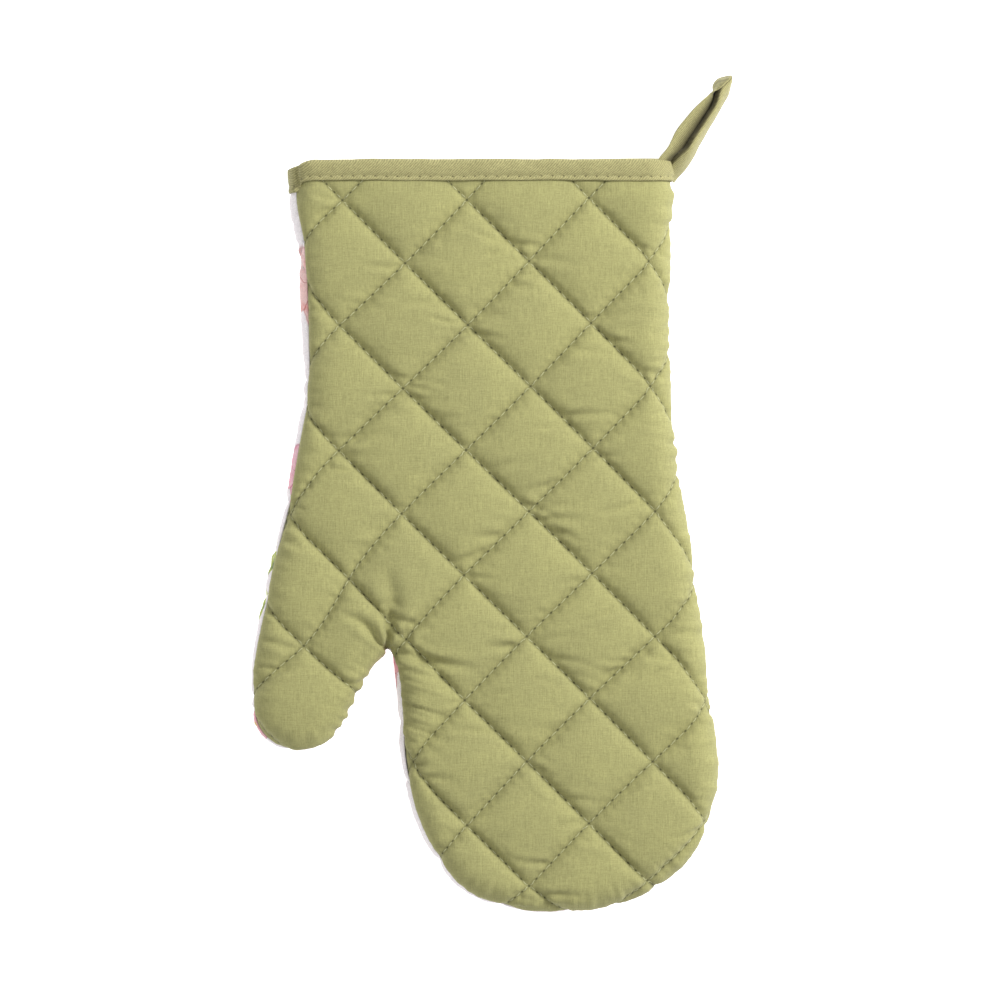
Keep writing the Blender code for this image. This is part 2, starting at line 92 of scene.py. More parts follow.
# The outline from the cuff's right end round the fingers, the crotch and the thumb to its left end.
OUTLINE = [
    (79.4, CUFF_END), (79.6, 131.0), (79.2, 122.0), (78.2, 109.0),
    (77.9, 92.0), (77.4, 74.8), (78.2, 57.5), (78.6, 40.3),
    (80.4, 23.1), (82.2, 5.8), (85.0, -11.4), (88.4, -28.7),
    (90.2, -45.9), (92.2, -63.1), (94.4, -80.4), (97.0, -97.6),
    (98.5, -114.9), (97.9, -132.1), (92.0, -149.3), (82.0, -163.0),
    (67.3, -174.2), (50.2, -180.1), (32.0, -182.1), (13.8, -181.2),
    (-3.5, -177.0), (-16.4, -169.0), (-26.0, -156.5), (-33.0, -142.0),
    (-38.0, -126.0), (-40.3, -110.0), (-41.0, -95.0), (-41.8, -83.0),
    (-43.2, -73.4), (-45.0, -67.2), (-48.6, -72.4), (-54.0, -82.4),
    (-58.1, -90.7), (-62.7, -99.8), (-68.7, -107.3), (-76.0, -111.9),
    (-84.2, -113.0), (-92.4, -111.0), (-99.2, -106.0), (-103.9, -98.2),
    (-105.2, -88.0), (-104.6, -76.0), (-102.4, -62.0), (-99.8, -45.9),
    (-96.3, -28.7), (-91.8, -11.4), (-88.2, 5.8), (-85.0, 23.1),
    (-82.6, 40.3), (-81.9, 57.5), (-82.4, 74.8), (-83.8, 92.0),
    (-85.2, 109.3), (-87.2, 122.0), (-88.3, 131.0), (-88.7, CUFF_END),
]

# --- cloth mesh ---
CELLS = 18  # cloth mesh cells along one side of a quilted diamond
CELL = LINE_SPACING / CELLS
GROOVE = 3.8
SEAM_PINCH = 1.6
HELD_DEPTH = 2.3  # depth of the outer cloth inside the binding
CROTCH_REACH = 11.0  # cloth left between the flat of a panel and the crotch's point
GATHER_REACH = 11.0  # how far the longer gathers run in from the rounded edge
CLOTH = 0.45
LINING = 0.4
STITCH_ROW = 6  # place of the stitch groove in the binding's profile
STITCHES = 8  # stitches along one side of a diamond
STITCH_LENGTH = LINE_SPACING / STITCHES
RIB_PITCH = 1.2  # of the binding's twill


# ---------------------------------------------------------------- outline and edge


def spline(points, steps):
    """Catmull-Rom curve through the points; steps tells how many parts each span gets."""
    points = [Vector(p) for p in points]
    points = [points[0] * 2 - points[1], *points, points[-1] * 2 - points[-2]]
    dense = []
    for before, a, b, after in zip(points, points[1:], points[2:], points[3:]):
        count = steps(b - a)
        for n in range(count):
            t = n / count
            place = 2 * a + (b - before) * t + (2 * before - 5 * a + 4 * b - after) * t**2
            dense.append(0.5 * (place + (3 * a - before - 3 * b + after) * t**3))
    dense.append(points[-2])
    return np.array([p[:] for p in dense])


def even_spline(points, step):
    """The curve in about equal steps of the given length."""
    return spline(points, lambda span: max(2, math.ceil(span.length / step)))


def limit(value):
    """The value kept between 0 and 1."""
    return np.clip(value, 0.0, 1.0)


def hill(distance, width):
    """1 at no distance, falling off smoothly over the width."""
    return np.exp(-((distance / width) ** 2))


def unit(vectors):
    return vectors / np.maximum(np.linalg.norm(vectors, axis=1), 1e-9)[:, None]


def run_length(points):
    """How far along a polyline each of its points lies."""
    return np.concatenate([[0.0], np.cumsum(np.linalg.norm(np.diff(points, axis=0), axis=1))])


def sample(at, position, line):
    """The line's columns, read between its points at new positions."""
    return np.column_stack([np.interp(at, position, column) for column in line.T])


def crotch_gap(plan):
    """Distance of plan points from the point where thumb and hand meet."""
    return np.linalg.norm(plan[:, :2] - np.array(CROTCH), axis=1)


def smooth_list(values, rounds):
    values = np.array(values, float)
    for _ in range(rounds):
        values[1:-1] = 0.25 * values[:-2] + 0.5 * values[1:-1] + 0.25 * values[2:]
    return values


def right_of_notch(places):
    """How far each plan point lies to the right of the notch's middle line."""
    middle = np.array(NOTCH)[::-1]
    return places[:, 0] - np.interp(places[:, 1], middle[:, 1], middle[:, 0])


class Edge:
    """The rounded side edge: outline points, outward normals, and the line where the flat begins."""

    def __init__(self):
        path = even_spline(OUTLINE, 0.5)
        along = np.gradient(path, axis=0)
        normal = smooth_list(unit(np.stack([-along[:, 1], along[:, 0]], axis=1)), 12)
        level = limit((path[:, 1] - 122.0) / 8.0)[:, None]
        sideways = np.stack([np.sign(path[:, 0]), np.zeros(len(path))], axis=1)
        normal = unit(normal * (1 - level) + sideways * level)
        self.path = path
        self.reach_along = run_length(path)
        self.normal = normal
        self.flat = path - normal * EDGE_R
        roll = SEAM_ROLL + CUFF_ROLL * limit((path[:, 1] - 45.0) / 35.0)
        thumb = hill(path[:, 0] + 100.0, 18.0) * hill(path[:, 1] + 84.0, 26.0)
        self.seam = np.radians(SEAM_MEAN - roll * normal[:, 0]) * (1 - 0.5 * thumb)
        gap = crotch_gap(path)
        self.turn_back = int(np.argmin(gap))
        near = CROTCH_REACH + 0.75 * gap
        self.reach = {}
        for side in (1, -1):
            full = EDGE_R * (math.pi / 2 - side * self.seam)
            room = np.minimum(self.room_in_notch(full), near)
            self.reach[side] = np.minimum(smooth_list(np.minimum(full, room), 8), room)

    def room_in_notch(self, full):
        """How far each flat edge may reach before it meets the middle of the notch by the thumb."""
        path = self.path
        room = np.array(full)
        for share in np.linspace(1.0, 0.3, 57):
            place = self.flat + self.normal * (full * share)[:, None]
            offset = right_of_notch(place)
            offset[self.turn_back :] *= -1
            clash = (offset < 0.8) & (path[:, 1] < CROTCH[1] + 6.0)
            clash &= abs(path[:, 0] - CROTCH[0]) < 62.0
            clash &= (place[:, 1] < CROTCH[1] + 2.0) & (place[:, 1] > -150.0)
            room = np.where(clash, full * share - 0.3, room)
        return room

    def border(self, side, step):
        """The edge of a panel's flat cloth, thinned to steps of about the given length."""
        border = self.flat + self.normal * self.reach[side][:, None]
        keep = [0]
        for i in range(1, len(border) - 1):
            if np.linalg.norm(border[i] - border[keep[-1]]) >= step:
                keep.append(i)
        if np.linalg.norm(border[-1] - border[keep[-1]]) < 0.6 * step:
            keep.pop()
        keep.append(len(border) - 1)
        return border[keep]


EDGE = Edge()


def inside(points, polygon):
    """Which points lie inside a closed polygon, by counting crossings."""
    x, y = points[:, 0], points[:, 1]
    result = np.zeros(len(points), bool)
    for a, b in zip(polygon, np.roll(polygon, -1, axis=0)):
        spans = (a[1] > y) != (b[1] > y)
        with np.errstate(divide="ignore", invalid="ignore"):
            cross = a[0] + (y - a[1]) / (b[1] - a[1]) * (b[0] - a[0])
        result ^= spans & (x < cross)
    return result


def nearest_on(points, line):
    """For each point: distance to a polyline, position along it in segments, and nearest place."""
    a, b = line[:-1], line[1:]
    along = b - a
    length = np.maximum((along**2).sum(1), 1e-12)
    distance = np.full(len(points), np.inf)
    place = np.zeros((len(points), 2))
    index = np.zeros(len(points))
    for start in range(0, len(points), 400):
        chunk = points[start : start + 400]
        t = ((chunk[:, None] - a) * along).sum(2) / length
        t = np.clip(t, 0, 1)
        foot = a + along * t[..., None]
        gap = np.linalg.norm(chunk[:, None] - foot, axis=2)
        best = gap.argmin(1)
        rows = np.arange(len(chunk))
        distance[start : start + 400] = gap[rows, best]
        place[start : start + 400] = foot[rows, best]
        index[start : start + 400] = best + t[rows, best]
    return distance, index, place


# ---------------------------------------------------------------- quilting lattice


def bump(x, y, cx, cy, radius):
    return np.exp(-((x - cx) ** 2 + (y - cy) ** 2) / (2 * radius**2))


def lattice_place(p, q):
    """Plan position in millimetres of lattice coordinates; the lines drift on the thumb."""
    x = CROSSING[0] + (p - q) * LATTICE_STEP
    y = CROSSING[1] - (p + q) * LATTICE_STEP
    thumb = bump(x, y, -92.0, -62.0, 27.0)
    tip = bump(x, y, -62.0, -92.0, 16.0)
    end = bump(x, y, -75.0, -103.0, 14.0)
    wander = 0.9 * np.sin(x / 31.0 + y / 43.0)
    x_shift = 10.0 * thumb + 3.0 * tip + 10.0 * end + wander
    y_shift = -4.0 * thumb + 6.0 * tip - 10.0 * end + 0.6 * np.sin(x / 27.0)
    return x + x_shift, y + y_shift


def cuff_corners(x, part):
    """How far the cuff is pulled down at its two corners; part is 1 at the binding's top."""
    left = 2.2 * limit((-76.0 - x) / 9.0) ** 1.5 + 1.3 * limit((-84.4 - x) / 4.3)
    right = 1.2 * limit((x - 74.0) / EDGE_R) ** 4 * part**3
    return left * part**2 + right


class Cloth:
    """One panel's cloth as a flat mesh whose grid lines run along the quilting."""

    def __init__(self, side):
        self.side = side
        border = EDGE.border(side, CELL * 0.85)
        right, left = border[0], border[-1]
        count = max(2, int((right[0] - left[0]) / (CELL * 1.1)))
        cuff = [left + (right - left) * i / count for i in range(1, count)]
        self.border_count = len(border)
        ring = np.vstack([border, np.array(cuff)])
        self.ring_count = len(ring)
        reach = 13 * CELLS
        grid = [(p, q) for p in range(-reach, reach) for q in range(-reach, reach)]
        grid = [(p, q) for p, q in grid if abs(p - q) < 6 * CELLS and -CELLS < p + q < 26 * CELLS]
        grid = np.array(grid)
        x, y = lattice_place(grid[:, 0] / CELLS, grid[:, 1] / CELLS)
        places = np.stack([x, y], axis=1)
        good = inside(places, ring)
        good[good] = nearest_on(places[good], np.vstack([ring, ring[:1]]))[0] > 0.55 * CELL
        grid, places = grid[good], places[good]
        self.plan = np.vstack([ring, places])
        self.grid = {tuple(g): self.ring_count + i for i, g in enumerate(grid)}
        self.lattice = np.full((len(self.plan), 2), np.nan)
        self.lattice[self.ring_count :] = grid / CELLS
        self.faces = self.make_faces(ring)
        self.fill_lattice()
        self.map_to_edge()

    def make_faces(self, ring):
        """Quads where all four grid corners exist, and triangles between them and the border."""
        faces = []
        edges = [(i, (i + 1) % len(ring)) for i in range(len(ring))]
        cells = set()
        for (p, q), corner in self.grid.items():
            around = [(p, q + 1), (p + 1, q + 1), (p + 1, q)]  # the same way round as the triangles
            if all(g in self.grid for g in around):
                cells.add((p, q))
                faces.append([corner] + [self.grid[g] for g in around])
        for p, q in cells:
            for here, there, beside in (
                ((p, q), (p + 1, q), (p, q - 1)),
                ((p, q), (p, q + 1), (p - 1, q)),
                ((p, q + 1), (p + 1, q + 1), (p, q + 1)),
                ((p + 1, q), (p + 1, q + 1), (p + 1, q)),
            ):
                if beside not in cells:
                    edges.append((self.grid[here], self.grid[there]))
        used = sorted({i for edge in edges for i in edge} | self.loose_nodes(cells))
        number = {old: new for new, old in enumerate(used)}
        points = [Vector(self.plan[i]) for i in used]
        links = [(number[a], number[b]) for a, b in edges]
        result = delaunay_2d_cdt(points, links, [], 1, 1e-6)
        source = [used[origin[0]] for origin in result[3]]
        covered = self.covered_by(cells)
        thirds = [[source[i] for i in tri] for tri in result[2]]
        centres = np.array([self.plan[t].mean(0) for t in thirds])
        for corners, kept in zip(thirds, inside(centres, ring)):
            if kept and not covered(corners):
                faces.append(corners)
        return faces

    def loose_nodes(self, cells):
        inner = set()
        for p, q in cells:
            inner.update(((p, q), (p + 1, q), (p + 1, q + 1), (p, q + 1)))
        return {i for g, i in self.grid.items() if g not in inner}

    def covered_by(self, cells):
        """A test for triangles that lie inside the quads, so that they aren't made twice."""
        inverse = {i: g for g, i in self.grid.items()}

        def covered(corners):
            if any(i < self.ring_count for i in corners):
                return False
            spots = [inverse[i] for i in corners]
            p = sum(s[0] for s in spots) / len(spots)
            q = sum(s[1] for s in spots) / len(spots)
            return (math.floor(p), math.floor(q)) in cells

        return covered

    def fill_lattice(self):
        """Lattice coordinates of the border's vertices, from the plan's inverse, by a few steps."""
        x, y = self.plan[: self.ring_count].T
        total = (CROSSING[1] - y) / LATTICE_STEP
        apart = (x - CROSSING[0]) / LATTICE_STEP
        p, q = (total + apart) / 2, (total - apart) / 2
        for _ in range(12):
            at_x, at_y = lattice_place(p, q)
            total = -(y - at_y) / LATTICE_STEP
            apart = (x - at_x) / LATTICE_STEP
            p, q = p + (total + apart) / 2, q + (total - apart) / 2
        self.lattice[: self.ring_count, 0] = p
        self.lattice[: self.ring_count, 1] = q

    def map_to_edge(self):
        """Where each flat point goes on the rounded edge: foot, outward direction and turn."""
        plan = self.plan
        flat = EDGE.flat
        distance, index, foot = nearest_on(plan, flat)
        low_part = plan[:, 1] < CROTCH[1] + 8.0
        right = right_of_notch(plan) >= 0
        for own, start, stop in (
            (low_part & right, 0, EDGE.turn_back + 1),
            (low_part & ~right, EDGE.turn_back, len(flat)),
        ):
            distance[own], index[own], foot[own] = nearest_on(plan[own], flat[start:stop])
            index[own] += start
        beyond = np.array([[0.0, 2.0]])  # the ring is closed a little above the cuff
        within = inside(plan, np.vstack([flat, flat[-1:] + beyond, flat[:1] + beyond]))
        low = np.floor(index).astype(int)
        high = np.minimum(low + 1, len(flat) - 1)
        part = index - low

        def between(values):
            share = part if values.ndim == 1 else part[:, None]
            return values[low] * (1 - share) + values[high] * share

        reach = between(EDGE.reach[self.side])
        self.turn = np.where(within, 0.0, limit(distance / reach))
        self.turn[: self.border_count] = 1.0
        # 1 at the seam, 0 where the flat begins, and -1 where the longer gathers end
        self.rim = np.where(within, -distance / GATHER_REACH, self.turn)
        self.foot = np.where(within[:, None], plan, foot)
        self.normal = unit(between(EDGE.normal))
        self.seam = between(EDGE.seam)
        self.reach_along = between(EDGE.reach_along)

    def place(self, depth):
        """3-D places, in millimetres, at the given depths below the mitt's envelope."""
        side = self.side
        angle = side * math.pi / 2 + (self.seam - side * math.pi / 2) * self.turn
        radius = EDGE_R - depth
        out = radius * np.cos(angle) * (self.turn > 0)
        xy = self.foot + self.normal * out[:, None]
        envelope = self.foot[:, 0] + self.normal[:, 0] * EDGE_R * np.cos(angle) * (self.turn > 0)
        part = limit((xy[:, 1] - CUFF_EDGE) / (CUFF_TOP - CUFF_EDGE))
        xy[:, 1] -= cuff_corners(envelope, part)
        z = EDGE_R + radius * np.where(self.turn > 0, np.sin(angle), side)
        return np.column_stack([xy, z])


def line_distance(lattice):
    """Distance in millimetres to the nearest quilting line."""
    return np.abs(lattice - np.round(lattice)).min(1) * LINE_SPACING


def squeeze(plan):
    """0 where a panel is free, 1 where the binding holds it; the binding hangs lower at the left."""
    level = plan[:, 1] + 5.0 * limit((-79.0 - plan[:, 0]) / 4.0)
    return limit((level - (CUFF_EDGE - 7.0)) / 7.0) ** 1.2


# ---------------------------------------------------------------- cloth simulation


def pillow(lattice):
    """0 on a quilting line, 1 in the middle of a diamond."""
    u = np.abs(np.sin(np.pi * lattice[:, 0]))
    v = np.abs(np.sin(np.pi * lattice[:, 1]))
    return (u * v) ** 0.36


def start_depth(cloth):
    """Depth of the outer cloth before the simulation: the seam pulls it in, less so at the crotch."""
    gap = crotch_gap(cloth.plan)
    pinch = SEAM_PINCH * (1.0 - 0.85 * hill(gap, 7.0))
    depth = GROOVE * (1 - pillow(cloth.lattice)) * (1 - 0.6 * cloth.turn)
    depth = depth + pinch * limit(cloth.turn * 3.0 - 2.0) ** 2
    depth = depth * (1 - 0.9 * hill(gap, 6.0) * cloth.turn)
    held = squeeze(cloth.plan)
    return depth * (1 - held) + HELD_DEPTH * held


SIM_SCALE = 10.0  # the solver works better on a larger mesh
MOST_SWELL = 4.5
FRAMES = 26
CUT_SCALE = (1.015, 1.05, 1.02)  # the cloth's cut size over its place on the mitt
CLOTH_SETTINGS = {
    "quality": 6,
    "mass": 0.25,
    "tension_stiffness": 20.0,
    "compression_stiffness": 20.0,
    "shear_stiffness": 8.0,
    "bending_stiffness": 0.25,
    "tension_damping": 15.0,
    "compression_damping": 15.0,
    "shear_damping": 12.0,
    "air_damping": 4.0,
    "vertex_group_mass": "pins",
    "use_pressure": True,
    "uniform_pressure_force": 2.4,
}


def simulate(cloth):
    """Let the cloth, cut a little too large, swell between its stitched lines."""
    start = cloth.place(start_depth(cloth)) * MM * SIM_SCALE
    mesh = bpy.data.meshes.new("cloth_sim")
    faces = cloth.faces if cloth.side > 0 else [f[::-1] for f in cloth.faces]
    mesh.from_pydata([tuple(v) for v in start], [], faces)
    mesh.update()
    fix_winding(mesh, cloth.side)
    obj = bpy.data.objects.new("cloth_sim", mesh)
    bpy.context.scene.collection.objects.link(obj)
    stitched = line_distance(cloth.lattice) < 0.05
    border = np.arange(len(start)) < cloth.ring_count
    held = cloth.plan[:, 1] > CUFF_EDGE + 1.0
    pins = obj.vertex_groups.new(name="pins")
    pinned = [int(i) for i in np.nonzero(stitched | border | held)[0]]
    pins.add(pinned, 1.0, "REPLACE")
    obj.shape_key_add(name="Basis")
    rest = obj.shape_key_add(name="cut")
    middle = start.mean(0)
    cut = middle + (start - middle) * np.array(CUT_SCALE)
    rest.data.foreach_set("co", cut.ravel())
    modifier = obj.modifiers.new("cloth", "CLOTH")
    settings = modifier.settings
    for key, value in CLOTH_SETTINGS.items():
        setattr(settings, key, value)
    settings.rest_shape_key = rest
    settings.effector_weights.gravity = 0.0
    modifier.collision_settings.use_collision = False
    modifier.point_cache.frame_start = 1
    modifier.point_cache.frame_end = FRAMES
    scene = bpy.context.scene
    for number in range(1, FRAMES + 1):
        scene.frame_set(number)
    result = obj.evaluated_get(bpy.context.evaluated_depsgraph_get()).to_mesh()
    places = np.empty(len(result.vertices) * 3)
    result.vertices.foreach_get("co", places)
    places = places.reshape(-1, 3) / (MM * SIM_SCALE)
    scene.frame_set(1)
    bpy.data.objects.remove(obj, do_unlink=True)
    start = start / (MM * SIM_SCALE)
    moved = places - start
    far = np.linalg.norm(moved, axis=1)
    scale = np.minimum(1.0, MOST_SWELL / np.maximum(far, 1e-9))
    calm = limit((1.0 - cloth.turn) / 0.28) ** 1.3
    return start + moved * (scale * calm)[:, None]


def fix_winding(mesh, side):
    """Turn the faces so that their normals point out of the mitt."""
    up = sum(p.normal.z * p.area for p in mesh.polygons)
    if up * side < 0:
        mesh.flip_normals()


# ---------------------------------------------------------------- puckers and creases

# Creases of the palm panel where the thumb meets the hand: plan points, depth and half width.
CREASES = [
    ([(-45.0, -68.0), (-44.6, -57.0), (-44.9, -47.0)], 3.2, 1.7),
    ([(-42.0, -64.0), (-42.6, -45.0), (-46.2, -27.0)], 1.6, 3.2),
    ([(-43.4, -67.0), (-37.3, -63.0), (-35.4, -58.0), (-27.0, -50.0)], 2.2, 1.7),
    ([(-42.5, -68.2), (-33.0, -69.8), (-26.0, -72.3), (-5.0, -75.5)], 2.4, 1.8),
    ([(-46.4, -65.6), (-54.5, -56.5), (-66.0, -51.0)], 1.8, 1.8),
    ([(-50.0, -60.0), (-58.0, -72.0), (-66.0, -78.0)], 0.7, 2.2),
]
CREASE_COUNT = 120
SEEDS = {"palm": 3, "back": 57}
RIM_GATHERS = {"palm": 1.1, "back": 0.5}
FINGER_GATHERS = 3.0


def random_creases(seed):
    """Short near-level creases that start at the quilting and run out into the diamonds."""
    draw = np.random.RandomState(seed)
    creases = []
    while len(creases) < CREASE_COUNT:
        line = draw.randint(-3, 16)
        along = draw.uniform(-3.0, 16.0)
        p, q = (line, along) if draw.rand() < 0.5 else (along, line)
        x, y = lattice_place(p, q)
        length = draw.uniform(11.0, 27.0)
        slope = math.radians(draw.normal(0.0, 11.0))
        way = 1 if draw.rand() < 0.5 else -1
        depth = draw.uniform(0.45, 1.35)
        width = draw.uniform(0.9, 1.7)
        if abs(x) < 110.0 and -185.0 < y < CUFF_EDGE:
            creases.append((x, y, way * math.cos(slope), math.sin(slope), length, depth, width))
    return creases


def crease_shift(plan, lattice, seed):
    """Shift from the short creases, each a valley with low shoulders that ends at the quilting."""
    shift = np.zeros(len(plan))
    for x, y, dx, dy, length, depth, width in random_creases(seed):
        rel = plan - np.array([x, y])
        t = rel @ np.array([dx, dy])
        bow = 0.9 * np.sin(math.pi * limit(t / length))
        d = np.abs(rel @ np.array([-dy, dx]) - bow)
        fade = limit(t / 2.5) * limit((length - t) / (0.7 * length))
        shift -= depth * fade * (hill(d, width) - 0.45 * hill(d - 2.3 * width, 1.4 * width))
    return shift * limit(line_distance(lattice) / 1.5)


def wrinkle(x, y, seed):
    """Near-level folds of the cloth: long in x, short in y, a few of them sharp."""
    sway = 1.6 * noise.noise(Vector((x / 26.0, y / 30.0, seed)))
    soft = noise.noise(Vector((x / 21.0, (y + 4.0 * sway) / 5.2, seed + 3.0)))
    fine = noise.noise(Vector((x / 12.0, (y + 4.0 * sway) / 3.1, seed + 7.0)))
    valley = hill(soft, 0.07)  # sharp, where the noise crosses zero
    return 0.9 * soft + 0.45 * fine + 0.5 * (0.35 - valley)


def rim_gathers(reach, turn, seed, amount):
    """Short pulled folds square to the side seam, where the seam eases the cloth in."""
    shift = np.zeros(len(reach))
    for i in np.nonzero(turn > 0.02)[0]:
        s = reach[i] + 2.5 * noise.noise(Vector((reach[i] / 14.0, 0.0, seed)))
        beat = noise.noise(Vector((s / 3.0, turn[i] * 0.9, seed + 41.0)))
        strength = 0.75 + 0.8 * noise.noise(Vector((reach[i] / 30.0, 2.0, seed)))
        shift[i] = amount * beat * max(0.0, strength) * math.sin(math.pi * min(1.0, turn[i] * 1.05)) ** 0.8
    return shift


def finger_gathers(plan, rim, reach, seed):
    """Short folds that run from the seam into the finger, beside the crotch."""
    shift = np.zeros(len(plan))
    place = hill(plan[:, 1] + 94.0, 20.0) * (right_of_notch(plan) > 0) * (plan[:, 0] < -15.0)
    for i in np.nonzero((rim > -1.0) & (place > 0.03))[0]:
        s = reach[i] + 0.35 * plan[i, 0]
        beat = noise.noise(Vector((s / 2.3, rim[i] * 0.4, seed + 53.0)))
        fade = min(1.0, 1.0 + rim[i]) * min(1.0, (1.0 - rim[i]) / 0.4)
        shift[i] = FINGER_GATHERS * place[i] * beat * fade
    return shift


def pucker_field(name, plan, lattice, rim, reach):
    """Outward shift, in millimetres, of each point of a panel's cloth."""
    seed = SEEDS[name]
    turn = np.maximum(rim, 0.0)
    near = line_distance(lattice)
    shift = np.zeros(len(plan))
    for i, (x, y) in enumerate(plan):
        d = near[i]
        beside = hill(d - 4.0, 5.0) * min(1.0, d / 1.2)
        patch = 0.55 + 0.9 * noise.noise(Vector((x / 33.0, y / 33.0, seed + 11.0)))
        patch = min(1.2, max(0.12, patch))
        shift[i] = 0.8 * beside * patch * wrinkle(x, y, seed)
        shift[i] += 0.15 * noise.noise(Vector((x / 9.0, y / 9.0, seed + 19.0)))
    p, q = lattice[:, 0], lattice[:, 1]
    across = np.abs(p - np.round(p)) < np.abs(q - np.round(q))
    along = np.where(across, q, p)
    gather = 0.16 * np.cos(2 * np.pi * STITCHES * along) * hill(near - 1.6, 1.7)
    shift += gather + crease_shift(plan, lattice, seed)
    shift *= 1.0 - 0.6 * limit(turn * 2.2 - 1.2)
    shift += rim_gathers(reach, turn, seed, RIM_GATHERS[name])
    if name == "palm":
        shift += finger_gathers(plan, rim, reach, seed)
    shift -= 0.75 * hill(near, 1.0) * (1.0 - 0.6 * turn)
    return shift * (1.0 - 0.75 * squeeze(plan)) * limit((1.0 - turn) / 0.1)


def crease_field(plan, lattice, turn, spread=0.0):
    """The thumb's own creases; the layer below uses them a little wider."""
    shift = np.zeros(len(plan))
    for points, depth, width in CREASES:
        width += spread
        line = even_spline(points, 1.0)
        distance, index, _ = nearest_on(plan, line)
        part = index / (len(line) - 1)
        fade = limit(np.minimum(0.5 + part * 5.0, (1.0 - part) * 2.0))
        shoulder = 0.35 * hill(distance - 2.2 * width, 1.2 * width)
        shift -= depth * fade * (hill(distance, width) - shoulder)
    shift *= 0.3 + 0.7 * limit(line_distance(lattice) / 3.0)
    return shift * (1.0 - 0.3 * turn) * limit((1.0 - turn) / 0.1)


# ---------------------------------------------------------------- mesh helpers


def new_object(name, vertices, faces, attributes=()):
    """A smooth mesh object from places in millimetres, with named vector attributes."""
    mesh = bpy.data.meshes.new(name)
    mesh.from_pydata([tuple(v) for v in np.asarray(vertices) * MM], [], faces)
    for label, values in attributes:
        layer = mesh.attributes.new(label, "FLOAT_VECTOR", "POINT")
        layer.data.foreach_set("vector", np.asarray(values, dtype=float).ravel())
    mesh.update()
    mesh.shade_smooth()
    obj = bpy.data.objects.new(name, mesh)
    bpy.context.scene.collection.objects.link(obj)
    return obj


def apply_modifiers(obj):
    evaluated = obj.evaluated_get(bpy.context.evaluated_depsgraph_get())
    mesh = bpy.data.meshes.new_from_object(evaluated)
    old = obj.data
    obj.modifiers.clear()
    obj.data = mesh
    mesh.name = obj.name
    bpy.data.meshes.remove(old)


def subdivide(obj):
    modifier = obj.modifiers.new("subdivision", "SUBSURF")
    modifier.levels = 1
    modifier.render_levels = 1
    apply_modifiers(obj)


def mesh_arrays(mesh):
    """Vertex places and normals of a mesh, the places in millimetres."""
    count = len(mesh.vertices)
    places, normals = np.empty(count * 3), np.empty(count * 3)
    mesh.vertices.foreach_get("co", places)
    mesh.vertex_normals.foreach_get("vector", normals)
    return places.reshape(-1, 3) / MM, normals.reshape(-1, 3)


def read_attribute(mesh, label):
    values = np.empty(len(mesh.vertices) * 3)
    mesh.attributes[label].data.foreach_get("vector", values)
    return values.reshape(-1, 3)


def set_places(mesh, places):
    mesh.vertices.foreach_set("co", (np.asarray(places) * MM).ravel())
    mesh.update()


def recalculate_normals(obj):
    """Make a closed mesh's normals point outwards."""
    bm = bmesh.new()
    bm.from_mesh(obj.data)
    bmesh.ops.recalc_face_normals(bm, faces=bm.faces[:])
    bm.to_mesh(obj.data)
    bm.free()


def tube_faces(count, rows, closed=False):
    """Quads between rings of vertices; a tube that isn't closed gets a face on each end."""
    faces = []
    for i in range(count if closed else count - 1):
        j = (i + 1) % count
        for k in range(rows):
            m = (k + 1) % rows
            faces.append([i * rows + k, i * rows + m, j * rows + m, j * rows + k])
    if not closed:
        faces.append(list(range(rows))[::-1])
        faces.append(list(range((count - 1) * rows, count * rows)))
    return faces


def thicken(obj, millimetres):
    modifier = obj.modifiers.new("thickness", "SOLIDIFY")
    modifier.thickness = millimetres * MM
    modifier.offset = -1.0
    modifier.use_even_offset = False
    apply_modifiers(obj)


# ---------------------------------------------------------------- materials


class Value:
    """A node's output; sums, differences, products and shares of values add their own nodes."""

    def __init__(self, nodes, socket):
        self.nodes, self.socket = nodes, socket

    def __add__(self, other):
        return self.nodes.maths("ADD", self, other)

    def __sub__(self, other):
        return self.nodes.maths("SUBTRACT", self, other)

    def __mul__(self, other):
        return self.nodes.maths("MULTIPLY", self, other)

    def __truediv__(self, other):
        return self.nodes.maths("DIVIDE", self, other)

    def __abs__(self):
        return self.nodes.maths("ABSOLUTE", self)


